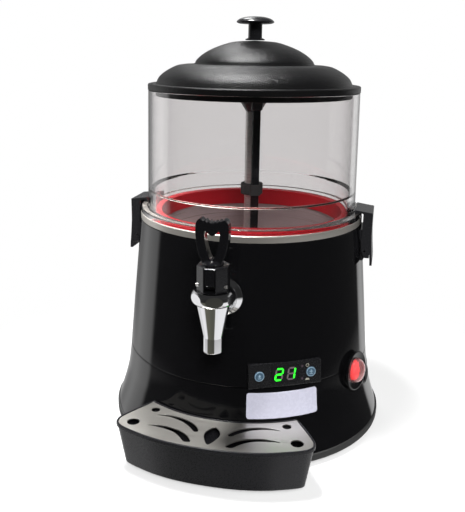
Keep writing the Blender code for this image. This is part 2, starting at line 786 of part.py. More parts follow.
def add_water_tank():
    low = NECK_Z - SEAM_HALF + GAP
    top = low + SHEET
    inner = TANK_R - SHEET
    corner = TANK_CORNER
    hole = TUBE_R + GAP
    under = TANK_FLOOR - SHEET
    profile = [
        (inner, top), (inner, TANK_FLOOR + corner), (inner - corner, TANK_FLOOR), (hole, TANK_FLOOR),
        (hole, under), (TANK_R - corner, under), (TANK_R, under + corner), (TANK_R, low),
        (TANK_FLANGE_R, low), (TANK_FLANGE_R, top)]
    tank = settle("water_tank", *revolve(profile), "steel")
    bore_wall(tank, "shank_tool", SHANK_R + GAP, 0.0, SHANK_Z)
    bore_wall(tank, "drain_tool", DRAIN_R + GAP, REAR_DEG, DRAIN_Z)
    for spot in heat_post_spots():
        frame = Matrix.Translation(spot)
        tool = round_tool("post_tool", HEAT_ROD_R + GAP, HEAT_POST_LOW, HEAT_Z, frame, HEAT_SIDE_STEPS)
        combine(tank, tool, "DIFFERENCE")


def tube_along(path, radius, sides):
    """Round rod along a path of points, capped at both ends."""
    loops = []
    count = len(path)
    for index, point in enumerate(path):
        before = path[max(index - 1, 0)]
        after = path[min(index + 1, count - 1)]
        along = (after - before).normalized()
        side = Vector((0.0, 0.0, 1.0)).cross(along)
        if side.length < HALF_SHARE:
            side = Vector((point.x, point.y, 0.0)).cross(along)
        side.normalize()
        rise = along.cross(side)
        loop = []
        for step in range(sides):
            turn = math.tau * step / sides
            loop.append(point + side * radius * math.cos(turn) + rise * radius * math.sin(turn))
        loops.append(loop)
    return loft(loops)


def add_heating_ring():
    span = FULL_TURN_DEG - HEAT_POST_DEG - HEAT_POST_DEG
    first = REAR_DEG + HEAT_POST_DEG
    path = []
    for step in range(HEAT_ROUND_STEPS + 1):
        spot = heading(first + span * step / HEAT_ROUND_STEPS) * HEAT_RING_R
        path.append(spot + Vector((0.0, 0.0, HEAT_Z)))
    ring = settle("heating_ring", *tube_along(path, HEAT_ROD_R, HEAT_SIDE_STEPS), "steel")
    for spot in heat_post_spots():
        frame = Matrix.Translation(spot)
        outline = circle_outline(HEAT_ROD_R, HEAT_SIDE_STEPS)
        post = settle("post_tool", *prism(outline, HEAT_POST_LOW, HEAT_Z + HEAT_ROD_R, frame), "steel")
        combine(ring, post, "UNION")


def add_drive_tube():
    low = GEAR_TOP + GAP
    profile = [
        (TUBE_BORE_R, low), (TUBE_FLANGE_R, low), (TUBE_FLANGE_R, low + TUBE_FLANGE_T),
        (TUBE_R, low + TUBE_FLANGE_T), (TUBE_R, TUBE_TOP), (TUBE_BORE_R, TUBE_TOP)]
    settle("drive_tube", *revolve(profile, SMALL_STEPS), "steel")


def add_gearbox():
    bore = SHAFT_R + GAP
    floor = GEAR_TOP - GEAR_BORE_DEEP
    edge = PLATE_EDGE
    profile = [
        (0.0, GEAR_LOW), (GEAR_R - edge, GEAR_LOW), (GEAR_R, GEAR_LOW + edge), (GEAR_R, GEAR_TOP - edge),
        (GEAR_R - edge, GEAR_TOP), (bore, GEAR_TOP), (bore, floor), (0.0, floor)]
    settle("gearbox", *revolve(profile, SMALL_STEPS), "steel")


def add_motor():
    top = GEAR_LOW - GAP
    edge = PLATE_EDGE
    profile = [
        (0.0, MOTOR_LOW - MOTOR_CAP_H), (MOTOR_CAP_R, MOTOR_LOW - MOTOR_CAP_H), (MOTOR_CAP_R, MOTOR_LOW),
        (MOTOR_R - edge, MOTOR_LOW), (MOTOR_R, MOTOR_LOW + edge), (MOTOR_R, top - edge),
        (MOTOR_R - edge, top), (0.0, top)]
    settle("stir_motor", *revolve(profile, SMALL_STEPS), "matt_black")


def add_motor_bracket():
    """Bent sheet: two feet on the floor plate, two legs and a table under the motor."""
    foot = PLATE_FLOOR + GAP
    top = MOTOR_LOW - GAP
    under = top - BRACKET_T
    out = BRACKET_HALF_X
    inner = out - BRACKET_T
    toe = out + BRACKET_FOOT_W
    outline = [
        (-toe, foot), (-inner, foot), (-inner, under), (inner, under), (inner, foot), (toe, foot),
        (toe, foot + BRACKET_T), (out, foot + BRACKET_T), (out, top), (-out, top),
        (-out, foot + BRACKET_T), (-toe, foot + BRACKET_T)]
    frame = axes_frame((0.0, 0.0, 0.0), (1.0, 0.0, 0.0), (0.0, -1.0, 0.0))
    bracket = settle(
        "motor_bracket", *prism(outline, -BRACKET_HALF_Y, BRACKET_HALF_Y, frame), "steel")
    tool = round_tool(
        "cap_tool", BRACKET_HOLE_R, under - CUT_OVERRUN, top + CUT_OVERRUN, Matrix.Identity(4))
    combine(bracket, tool, "DIFFERENCE")


def add_drive_shaft():
    low = GEAR_TOP - GEAR_BORE_DEEP + GAP
    profile = [(0.0, low), (SHAFT_R, low), (SHAFT_R, SHAFT_TOP), (0.0, SHAFT_TOP)]
    settle("drive_shaft", *revolve(profile, SMALL_STEPS), "steel")


def bar_block(near, far, low, high, half, grow):
    """Solid on the stirrer's heading, between two radii, as wide as the bar plus grow."""
    side = half + grow
    outline = [(near, -side), (far, -side), (far, side), (near, side)]
    return prism(outline, low, high, spoke_frame(STIR_DEG))


def add_stirrer_hub():
    bore = SHAFT_R + GAP
    crown = HUB_TOP - (HUB_TOP - HUB_FLARE_Z) * HALF_SHARE
    profile = [
        (bore, HUB_LOW), (TUBE_R, HUB_LOW), (HUB_R, HUB_FLARE_Z), (HUB_R, crown),
        (HUB_CROWN_R, HUB_TOP), (0.0, HUB_TOP), (0.0, SHAFT_TOP + GAP), (bore, SHAFT_TOP + GAP)]
    hub = settle("stirrer_hub", *revolve(profile, SMALL_STEPS), "smoke")
    far = BAR_IN_R + BAR_T + LUG_WALL
    near = TUBE_R + GAP
    lug = settle("lug_tool", *bar_block(near, far, LUG_LOW, LUG_TOP, BAR_HALF_W, LUG_WALL), "smoke")
    combine(hub, lug, "UNION")
    socket = bar_block(
        BAR_IN_R - GAP, BAR_IN_R + BAR_T + GAP, LUG_LOW - CUT_OVERRUN, BAR_TOP + GAP,
        BAR_HALF_W, GAP)
    combine(hub, settle("socket_tool", *socket, "smoke"), "DIFFERENCE")


def add_stirrer_bar():
    block = bar_block(BAR_IN_R, BAR_IN_R + BAR_T, BAR_LOW, BAR_TOP, BAR_HALF_W, 0.0)
    settle("stirrer_bar", *block, "gloss_black")


def add_guide_clip():
    hole = TUBE_R + SEAT
    profile = [(hole, CLIP_LOW), (CLIP_R, CLIP_LOW), (CLIP_R, CLIP_TOP), (hole, CLIP_TOP)]
    clip = settle("guide_clip", *revolve(profile, SMALL_STEPS), "matt_black")
    far = BAR_IN_R + BAR_T + LUG_WALL
    lug = bar_block(hole + GAP, far, CLIP_LOW, CLIP_TOP, BAR_HALF_W, LUG_WALL)
    combine(clip, settle("lug_tool", *lug, "matt_black"), "UNION")
    socket = bar_block(
        BAR_IN_R - GAP, BAR_IN_R + BAR_T + GAP, CLIP_LOW - CUT_OVERRUN, CLIP_TOP + CUT_OVERRUN,
        BAR_HALF_W, GAP)
    combine(clip, settle("socket_tool", *socket, "matt_black"), "DIFFERENCE")


def blade_outline():
    """Plan of one curved blade, from inside the hub ring to its tip."""
    front = []
    back = []
    start = PADDLE_HUB_R - LUG_WALL
    for step in range(BLADE_STEPS + 1):
        share = step / BLADE_STEPS
        along = start + (BLADE_REACH - start) * share
        bend = BLADE_BEND * math.sin(math.pi * share) * BLADE_LEAN_SHARE
        front.append((along, bend - BLADE_T * HALF_SHARE))
        back.append((along, bend + BLADE_T * HALF_SHARE))
    return front + back[::-1]


def add_paddle():
    hole = TUBE_R + SEAT
    profile = [
        (hole, PADDLE_LOW), (PADDLE_HUB_R, PADDLE_LOW), (PADDLE_HUB_R, PADDLE_TOP), (hole, PADDLE_TOP)]
    paddle = settle("stirrer_paddle", *revolve(profile, SMALL_STEPS), "matt_black")
    blade_top = PADDLE_LOW + (PADDLE_TOP - PADDLE_LOW) * BLADE_TIP_SHARE
    for turn_deg in (STIR_DEG + RIGHT_DEG, STIR_DEG + LEFT_DEG):
        blade = prism(blade_outline(), PADDLE_LOW, blade_top, spoke_frame(turn_deg))
        combine(paddle, settle("blade_tool", *blade, "matt_black"), "UNION")
    far = BAR_IN_R + BAR_T + LUG_WALL
    lug = bar_block(hole + GAP, far, PADDLE_LOW, PADDLE_TOP, BAR_HALF_W, LUG_WALL)
    combine(paddle, settle("lug_tool", *lug, "matt_black"), "UNION")
    socket = bar_block(
        BAR_IN_R - GAP, BAR_IN_R + BAR_T + GAP, BAR_LOW - GAP, PADDLE_TOP + CUT_OVERRUN,
        BAR_HALF_W, GAP)
    combine(paddle, settle("socket_tool", *socket, "matt_black"), "DIFFERENCE")


def add_bowl():
    low = BAND_TOP + GAP
    recess = GASKET_TOP + GAP
    recess_r = GASKET_LIP_R + GAP
    ledge_low = BOWL_LEDGE_Z - BOWL_LEDGE_DROP
    share = (BOWL_LEDGE_Z - BOWL_FLANGE_TOP) / (BOWL_TOP - BOWL_FLANGE_TOP)
    ledge_out = BOWL_FOOT_R + (BOWL_TOP_R - BOWL_FOOT_R) * share - BOWL_WALL
    edge = BOWL_LIP_EDGE
    profile = [
        (recess_r, low), (BOWL_FLANGE_R, low), (BOWL_FLANGE_R, BOWL_FLANGE_TOP - edge),
        (BOWL_FLANGE_R - edge, BOWL_FLANGE_TOP), (BOWL_FOOT_R + BOWL_FILLET, BOWL_FLANGE_TOP),
        (BOWL_FOOT_R, BOWL_FLANGE_TOP + BOWL_FILLET), (BOWL_TOP_R, BOWL_TOP - edge),
        (BOWL_TOP_R - edge, BOWL_TOP), (BOWL_TOP_R - BOWL_WALL + edge, BOWL_TOP),
        (BOWL_TOP_R - BOWL_WALL, BOWL_TOP - edge), (ledge_out, BOWL_LEDGE_Z),
        (BOWL_LEDGE_R, ledge_low), (BOWL_LEDGE_R - edge, ledge_low - edge),
        (BOWL_LEDGE_R - edge, recess), (recess_r, recess)]
    settle("clear_bowl", *revolve(profile), "clear")


def add_gasket():
    low = BAND_TOP + GAP
    sleeve_out = THROAT_R - GAP
    lip = GASKET_LIP_EDGE
    profile = [
        (GASKET_IN_R, GASKET_LOW), (sleeve_out, GASKET_LOW), (sleeve_out, low),
        (GASKET_LIP_R, low), (GASKET_LIP_R, GASKET_TOP - lip), (GASKET_LIP_R - lip, GASKET_TOP),
        (GASKET_IN_R + lip, GASKET_TOP), (GASKET_IN_R, GASKET_TOP - lip)]
    settle("bowl_gasket", *revolve(profile), "red_silicone")


def lid_levels():
    low = BOWL_TOP + SEAT
    rim = low + LID_RIM_H
    step = rim + LOWER_DOME_H
    return low, rim, step, step + UPPER_DOME_H


def add_lid():
    low, rim, step, crown = lid_levels()
    edge = STEP_GROOVE
    outer = [(LID_R, low + edge), (LID_R, rim - edge), (LID_R - edge, rim)]
    for out_share, up_share in LOWER_DOME_SHARES:
        outer.append((LOWER_DOME_R * out_share, rim + LOWER_DOME_H * up_share))
    outer.append((STEP_R + edge, step - edge))
    outer.append((STEP_R, step - edge))
    for out_share, up_share in UPPER_DOME_SHARES:
        outer.append((STEP_R * out_share, step + UPPER_DOME_H * up_share))
    inner = []
    for out_share, up_share in UPPER_DOME_SHARES[::-2]:
        under = step - LID_WALL + UPPER_DOME_H * up_share
        inner.append(((STEP_R - LID_WALL) * out_share, under))
    inner.append((STEP_R - LID_WALL, step - edge - LID_WALL))
    for out_share, up_share in LOWER_DOME_SHARES[::-2]:
        under = rim - LID_WALL + LOWER_DOME_H * up_share
        inner.append((LOWER_DOME_R * out_share - LID_WALL, under))
    skirt_in = SKIRT_R - SKIRT_T
    profile = outer + [(0.0, crown), (0.0, crown - LID_WALL)] + inner + [
        (skirt_in, low - SKIRT_H), (SKIRT_R, low - SKIRT_H), (SKIRT_R, low), (LID_R - edge, low)]
    settle("lid", *revolve(profile), "satin_black")


def add_knob():
    crown = lid_levels()[3]
    low = crown + GAP
    cap_h = KNOB_TOP - KNOB_UNDER
    profile = [
        (0.0, low), (KNOB_STEM_LOW_R, low), (KNOB_STEM_LOW_R, low + KNOB_FOOT_H * HALF_SHARE),
        (KNOB_STEM_R, low + KNOB_FOOT_H), (KNOB_STEM_R, KNOB_UNDER)]
    for out_share, up_share in KNOB_CAP_SHARES:
        profile.append((KNOB_R * out_share, KNOB_UNDER + cap_h * up_share))
    profile.append((0.0, KNOB_TOP))
    settle("lid_knob", *revolve(profile, MIDDLE_STEPS), "gloss_black")


def side_frame(side):
    """Plan X outward and Z up become the drawing's axes; depth runs along the body's Y."""
    turn = Matrix(((side, 0.0, 0.0), (0.0, 0.0, 1.0), (0.0, 1.0, 0.0)))
    return turn.to_4x4()


def latch_outline():
    """Section of the lever: hook over the bowl flange, back plate and flared finger tip."""
    outer = []
    inner = []
    fall = LATCH_TOP_Z - LATCH_TIP_Z
    for out_share, down_share in LATCH_BACK_SHARES:
        x = LATCH_OUT_X + LATCH_FLARE * out_share
        z = LATCH_TOP_Z - fall * down_share
        outer.append((x, z))
        inner.append((x - LATCH_PLATE_T, min(z, LATCH_TOP_Z - LATCH_PLATE_T)))
    tooth = HOOK_IN_X + HOOK_TOOTH_T
    return [(HOOK_IN_X, HOOK_TOP_Z)] + outer + inner[::-1] + [
        (tooth, HOOK_TOP_Z - LATCH_PLATE_T), (tooth, HOOK_TOOTH_LOW), (HOOK_IN_X, HOOK_TOOTH_LOW)]


def add_latch(side, word):
    frame = side_frame(side)
    origin = (side * LATCH_PIN_X, 0.0, LATCH_PIN_Z)
    lever = settle(
        "latch_" + word, *prism(latch_outline(), -LATCH_HALF_W, LATCH_HALF_W, frame), "satin_black", origin)
    reach = LATCH_OUT_X - LATCH_PLATE_T * HALF_SHARE
    cheek = [
        (CHEEK_LOW_X, CHEEK_LOW), (reach, CHEEK_LOW), (reach, CHEEK_TOP), (CHEEK_IN_X, CHEEK_TOP),
        (CHEEK_MID_X, LATCH_PIN_Z)]
    inside = LATCH_HALF_W - LATCH_CHEEK_T
    for near, far in ((-LATCH_HALF_W, -inside), (inside, LATCH_HALF_W)):
        tool = settle("cheek_tool", *prism(cheek, near, far, frame), "satin_black")
        combine(lever, tool, "UNION")
    hole = circle_outline(LATCH_PIN_R + GAP, HOLE_STEPS, (LATCH_PIN_X, LATCH_PIN_Z))
    reach_y = LATCH_HALF_W + CUT_OVERRUN
    combine(lever, settle("pin_tool", *prism(hole, -reach_y, reach_y, frame), "satin_black"), "DIFFERENCE")


def add_latch_bracket(side, word):
    frame = side_frame(side)
    half = LATCH_HALF_W - LATCH_CHEEK_T - SEAT
    outline = [
        (BRACKET_IN_X, BRACKET_LOW_Z), (BRACKET_TOE_X, BRACKET_LOW_Z), (BRACKET_OUT_X, BRACKET_MID_Z),
        (BRACKET_OUT_X, BRACKET_SHOULDER_Z), (BRACKET_HEAD_X, BRACKET_HEAD_Z),
        (BRACKET_IN_X, BRACKET_HEAD_Z)]
    bracket = settle(
        "latch_bracket_" + word, *prism(outline, -half, half, frame), "satin_black")
    low = SEAM_Z
    high = BOWL_TOP
    clear = [
        (0.0, low), (shell_radius(low) + GAP, low), (shell_radius(high) + GAP, high), (0.0, high)]
    combine(bracket, settle("cone_tool", *revolve(clear), "satin_black"), "DIFFERENCE")
    hole = circle_outline(LATCH_PIN_R + GAP, HOLE_STEPS, (LATCH_PIN_X, LATCH_PIN_Z))
    combine(bracket, settle("pin_tool", *prism(hole, -BASE_R, BASE_R, frame), "satin_black"), "DIFFERENCE")
    pin = circle_outline(LATCH_PIN_R, HOLE_STEPS, (LATCH_PIN_X, LATCH_PIN_Z))
    settle("latch_pin_" + word, *prism(pin, -LATCH_HALF_W, LATCH_HALF_W, frame), "steel")


def tap_frame():
    return Matrix.Translation(Vector((0.0, -TAP_REACH, 0.0)))


def add_tap_body():
    """Cast body: spout, cone, flatted barrel ring and the shank that passes the shell."""
    mid = (RING_LOW + RING_TOP) * HALF_SHARE
    profile = [
        (0.0, SPOUT_LOW), (SPOUT_R - SPOUT_LIP, SPOUT_LOW), (SPOUT_R, SPOUT_LOW + SPOUT_LIP),
        (SPOUT_R, SPOUT_TOP), (CONE_R, CONE_TOP), (RING_WAIST_R, mid), (0.0, mid)]
    body = settle("tap_body", *revolve(profile, MIDDLE_STEPS, tap_frame()), "chrome")
    shank = face_frame(0.0, TAP_REACH, SHANK_Z, 0.0)
    inner_end = -SPOUT_BORE_R * HALF_SHARE
    combine(body, round_tool("rod_tool", SHANK_R, SHANK_IN_R - TAP_REACH, inner_end, shank), "UNION")
    barrel = [
        (0.0, RING_LOW), (RING_R * RING_EDGE_SHARE, RING_LOW), (RING_R, mid),
        (RING_R * RING_EDGE_SHARE, RING_TOP), (0.0, RING_TOP)]
    ring = settle("ring_tool", *revolve(barrel, MIDDLE_STEPS, tap_frame()), "chrome")
    flats = circle_outline(RING_FLAT / math.cos(math.pi / NUT_SIDES), NUT_SIDES, first_share=1.0)
    tool = settle("flat_tool", *prism(flats, CONE_TOP, BONNET_TOP, tap_frame()), "chrome")
    combine(ring, tool, "INTERSECT")
    combine(body, ring, "UNION")
    well = [
        (0.0, SPOUT_LOW - CUT_OVERRUN), (SPOUT_BORE_R, SPOUT_LOW - CUT_OVERRUN),
        (SPOUT_BORE_R, TAP_SEAT_Z), (CHAMBER_R, TAP_SEAT_Z), (CHAMBER_R, RING_TOP + CUT_OVERRUN),
        (0.0, RING_TOP + CUT_OVERRUN)]
    combine(body, settle("well_tool", *revolve(well, SMALL_STEPS, tap_frame()), "chrome"), "DIFFERENCE")
    combine(body, round_tool("bore_tool", SHANK_BORE_R, -TAP_REACH, inner_end, shank), "DIFFERENCE")


def nut_on_shank(name, near, far, radius, finish):
    """Six-sided nut on the shank between two distances from the axis."""
    frame = face_frame(0.0, 0.0, SHANK_Z, 0.0)
    nut = settle(name, *prism(circle_outline(radius, NUT_SIDES), near, far, frame), finish)
    tool = round_tool("rod_tool", SHANK_R + GAP, near - CUT_OVERRUN, far + CUT_OVERRUN, frame)
    combine(nut, tool, "DIFFERENCE")


def add_tap_mounts():
    frame = face_frame(0.0, 0.0, SHANK_Z, 0.0)
    near = shell_radius(SHANK_Z - NUT_R) + GAP
    hole = SHANK_R + GAP
    profile = [
        (hole, near), (NUT_R, near), (NUT_R, near + NUT_T - NUT_STEP_T), (NUT_STEP_R, near + NUT_T),
        (NUT_STEP_R, near + NUT_T + NUT_STEP_T), (hole, near + NUT_T + NUT_STEP_T)]
    settle("tap_flange", *revolve(profile, MIDDLE_STEPS, frame), "chrome")
    pan_face = wall_reach(THROAT_R, LOCK_NUT_R) - GAP
    nut_on_shank("tap_lock_nut", pan_face - LOCK_NUT_T, pan_face, LOCK_NUT_R, "steel")
    tank_in = wall_reach(TANK_R - SHEET, SEAL_R) - GAP
    seal = [(hole, tank_in - SEAL_T), (SEAL_R, tank_in - SEAL_T), (SEAL_R, tank_in), (hole, tank_in)]
    settle("shank_seal", *revolve(seal, SMALL_STEPS, frame), "rubber")


def add_bonnet():
    frame = tap_frame()
    plug = CHAMBER_R - GAP
    low = RING_TOP + GAP
    outline = circle_outline(BONNET_R, BONNET_SIDES, first_share=HALF_SHARE)
    inset = circle_outline(BONNET_R - BONNET_EDGE, BONNET_SIDES, first_share=HALF_SHARE)
    loops = [
        [frame @ Vector((x, y, z)) for x, y in loop]
        for loop, z in ((outline, low), (outline, BONNET_TOP - BONNET_EDGE), (inset, BONNET_TOP))]
    bonnet = settle("tap_bonnet", *loft(loops), "satin_black")
    root = round_tool("plug_tool", plug, BONNET_PLUG_LOW, BONNET_FLOOR + CUT_OVERRUN, frame)
    combine(bonnet, root, "UNION")
    slot = [
        (-BONNET_SLOT_HALF, -TAP_REACH), (BONNET_SLOT_HALF, -TAP_REACH),
        (BONNET_SLOT_HALF, BONNET_SLOT_BACK), (-BONNET_SLOT_HALF, BONNET_SLOT_BACK)]
    floor = low + GAP
    tool = settle("slot_tool", *prism(slot, floor, BONNET_TOP + CUT_OVERRUN, frame), "satin_black")
    combine(bonnet, tool, "DIFFERENCE")
    guide = round_tool("stem_tool", STEM_R + GAP, BONNET_PLUG_LOW - CUT_OVERRUN, BONNET_TOP, frame)
    combine(bonnet, guide, "DIFFERENCE")
    hole = circle_outline(PIVOT_R + GAP, HOLE_STEPS)
    pivot = pivot_frame()
    combine(bonnet, settle("pin_tool", *prism(hole, -BASE_R, BASE_R, pivot), "satin_black"), "DIFFERENCE")


def pivot_point():
    return Vector((0.0, -TAP_REACH - PIVOT_AHEAD, PIVOT_Z))


def pivot_frame():
    """Drawing X becomes the body's -Y, drawing Y stays up, depth runs along +X."""
    turn = Matrix(((0.0, 0.0, 1.0), (-1.0, 0.0, 0.0), (0.0, 1.0, 0.0)))
    return Matrix.Translation(pivot_point()) @ turn.to_4x4()


def mirrored(half):
    """Close a half outline that starts and ends on the centre line."""
    return half + [(-x, y) for x, y in half[-2:0:-1]]


def add_lever():
    """Loop handle on a forked tang; the fork lifts the valve stem when it is pulled."""
    height = LEVER_TOP - LEVER_LOW
    outer = [(LEVER_HALF_W * across, LEVER_LOW + height * up) for across, up in LEVER_OUT_SHARES]
    inner = [(LEVER_HALF_W * across, LEVER_LOW + height * up) for across, up in LEVER_HOLE_SHARES]
    frame = axes_frame((0.0, -TAP_REACH, 0.0), (1.0, 0.0, 0.0), (0.0, -1.0, 0.0))
    loop = settle(
        "tap_lever", *prism(mirrored(outer), -LEVER_BACK, LEVER_FRONT, frame), "gloss_black",
        pivot_point())
    hole = settle(
        "hole_tool", *prism(mirrored(inner), -LEVER_BACK - CUT_OVERRUN, LEVER_FRONT + CUT_OVERRUN, frame),
        "gloss_black")
    combine(loop, hole, "DIFFERENCE")
    bevel_now(loop, LEVER_BEVEL)
    pivot = pivot_frame()
    neck_top = LEVER_LOW + LEVER_BEVEL - PIVOT_Z
    neck = [
        (LOBE_R - TANG_R, 0.0), (TANG_R, 0.0), (TANG_R, neck_top), (LOBE_R - TANG_R, neck_top)]
    tang = settle("neck_tool", *prism(neck, -TANG_HALF, TANG_HALF, pivot), "gloss_black")
    combine(loop, tang, "UNION")
    ring = circle_outline(TANG_R, SMALL_STEPS)
    eye = settle("eye_tool", *prism(ring, -TANG_HALF, TANG_HALF, pivot), "gloss_black")
    combine(loop, eye, "UNION")
    top = LOBE_R * HALF_SHARE
    arm = [(0.0, -LOBE_R), (0.0, top), (-PIVOT_AHEAD, top), (-PIVOT_AHEAD, -LOBE_R)]
    lobe = circle_outline(LOBE_R, HOLE_STEPS, (-PIVOT_AHEAD, 0.0))
    for near, far in ((-TANG_HALF, -FORK_HALF), (FORK_HALF, TANG_HALF)):
        combine(loop, settle("arm_tool", *prism(arm, near, far, pivot), "gloss_black"), "UNION")
        combine(loop, settle("lobe_tool", *prism(lobe, near, far, pivot), "gloss_black"), "UNION")
    pin = circle_outline(PIVOT_R + GAP, HOLE_STEPS)
    combine(loop, settle("pin_tool", *prism(pin, -BASE_R, BASE_R, pivot), "gloss_black"), "DIFFERENCE")


def bevel_now(thing, width):
    bevel(thing, width)
    bpy.context.view_layer.update()
    graph = bpy.context.evaluated_depsgraph_get()
    result = bpy.data.meshes.new_from_object(thing.evaluated_get(graph))
    thing.modifiers.clear()
    thing.data = result


def add_tap_valve():
    frame = tap_frame()
    pin = circle_outline(PIVOT_R, HOLE_STEPS)
    settle("tap_pivot_pin", *prism(pin, -PIVOT_HALF_L, PIVOT_HALF_L, pivot_frame()), "steel")
    head_low = PIVOT_Z + LOBE_R + GAP
    head_top = head_low + STEM_HEAD_H
    origin = (0.0, -TAP_REACH, STEM_LOW)
    stem = [(0.0, STEM_LOW), (STEM_R, STEM_LOW), (STEM_R, head_low), (STEM_HEAD_R, head_low),
            (STEM_HEAD_R, head_top), (0.0, head_top)]
    settle("tap_stem", *revolve(stem, HOLE_STEPS, frame), "steel", origin)
    bore = STEM_R + GAP
    neck_top = CUP_TOP + CUP_NECK_H
    cup = [
        (0.0, CUP_LOW), (CUP_R - SPOUT_LIP, CUP_LOW), (CUP_R, CUP_LOW + SPOUT_LIP), (CUP_R, CUP_TOP),
        (CUP_NECK_R, CUP_TOP), (CUP_NECK_R, neck_top), (bore, neck_top), (bore, STEM_LOW - GAP),
        (0.0, STEM_LOW - GAP)]
    settle("tap_seat_cup", *revolve(cup, SMALL_STEPS, frame), "rubber", origin)
    steps = SPRING_TURNS * SPRING_STEPS
    path = []
    low = SPRING_LOW + SPRING_WIRE_R
    rise = SPRING_TOP - SPRING_WIRE_R - low
    for step in range(steps + 1):
        turn = math.tau * step / SPRING_STEPS
        spot = Vector((SPRING_R * math.cos(turn), SPRING_R * math.sin(turn), low + rise * step / steps))
        path.append(frame @ spot)
    settle("tap_spring", *tube_along(path, SPRING_WIRE_R, SPRING_SIDES), "steel", origin)


def grow_path(points, grow):
    """Move each point of an open path outward, square to its neighbours."""
    moved = []
    last = len(points) - 1
    for index, point in enumerate(points):
        before = Vector(points[max(index - 1, 0)])
        after = Vector(points[min(index + 1, last)])
        along = (after - before).normalized()
        moved.append((point[0] + along.y * grow, point[1] - along.x * grow))
    moved[0] = (0.0, points[0][1] - grow)
    return moved


def clear_of_body(point, radius):
    """Push a plan point straight out until it is no nearer to the axis than the radius."""
    reach = max(math.hypot(*point), radius)
    scale = reach / math.hypot(*point)
    return point[0] * scale, point[1] * scale


def tray_outline(grow, rear_r, rear_deg):
    """Closed plan outline: rounded front and sides, rear edge following the body."""
    half = []
    for across, ahead in TRAY_SIDE_SHARES:
        half.append((TRAY_HALF_W * across, -TRAY_FRONT * ahead))
    half = grow_path(half, grow)
    half = [clear_of_body(point, rear_r) for point in half]
    for step in range(TRAY_REAR_STEPS + 1):
        spot = heading(rear_deg * (1.0 - step / TRAY_REAR_STEPS)) * rear_r
        half.append((spot.x, spot.y))
    return mirrored(half)


def at_height(outline, height):
    return [Vector((x, y, height)) for x, y in outline]


def add_tray():
    rim_rear = TRAY_REAR_R - TRAY_TUCK * HALF_SHARE
    rim = tray_outline(TRAY_RIM, rim_rear, TRAY_REAR_DEG)
    tuck = tray_outline(TRAY_RIM - TRAY_TUCK, rim_rear + TRAY_TUCK, TRAY_REAR_DEG)
    foot = tray_outline(TRAY_RIM - TRAY_TUCK - TRAY_DRAFT, TRAY_FOOT_REAR_R, TRAY_FOOT_REAR_DEG)
    lip = tray_outline(GRILLE_PLAY, TRAY_REAR_R + TRAY_TUCK - GRILLE_PLAY, TRAY_REAR_DEG)
    well = tray_outline(-TRAY_WALL, rim_rear + TRAY_TUCK + TRAY_WALL, TRAY_REAR_DEG)
    floor = tray_outline(
        TRAY_RIM - TRAY_TUCK - TRAY_DRAFT - TRAY_WALL, TRAY_FOOT_REAR_R + TRAY_WALL, TRAY_FOOT_REAR_DEG)
    loops = [
        at_height(foot, TRAY_LOW), at_height(tuck, TRAY_RIM_LOW), at_height(rim, TRAY_RIM_LOW),
        at_height(rim, TRAY_RIM_TOP), at_height(lip, TRAY_RIM_TOP), at_height(lip, TRAY_LEDGE),
        at_height(well, TRAY_LEDGE), at_height(floor, TRAY_LOW + TRAY_FLOOR_T)]
    settle("drip_tray", *loft(loops), "matt_black")


def add_grille():
    low = TRAY_LEDGE + GAP
    high = low + GRILLE_T
    outline = tray_outline(0.0, TRAY_REAR_R + TRAY_TUCK, TRAY_REAR_DEG)
    plate = settle("tray_grille", *loft([at_height(outline, low), at_height(outline, high)]), "steel")
    cuts = [LEAF_SHARES]
    for shares in (BACK_CUT_SHARES, FRONT_CUT_SHARES):
        cuts.append(shares)
        cuts.append([(-across, ahead) for across, ahead in shares])
    outlines = [[(TRAY_HALF_W * across, -TRAY_FRONT * ahead) for across, ahead in cut] for cut in cuts]
    for (across, ahead), radius in ((HOLE_BACK_SHARES, HOLE_BACK_R), (HOLE_FRONT_SHARES, HOLE_FRONT_R)):
        for side in (1.0, -1.0):
            centre = (side * TRAY_HALF_W * across, -TRAY_FRONT * ahead)
            outlines.append(circle_outline(radius, HOLE_STEPS, centre))
    for outline in outlines:
        tool = settle("cut_tool", *prism(outline, low - CUT_OVERRUN, high + CUT_OVERRUN), "steel")
        combine(plate, tool, "DIFFERENCE")


def panel_frame():
    return face_frame(PANEL_DEG, PANEL_R, PANEL_Z, PANEL_TILT_DEG)


def panel_tool():
    outline = box_outline(PANEL_HALF_W + GAP, PANEL_HALF_H + GAP)
    solid = prism(outline, -PANEL_DEEP - GAP - CUT_OVERRUN, PANEL_CUT_OUT, panel_frame())
    return settle("panel_tool", *solid, "matt_black")


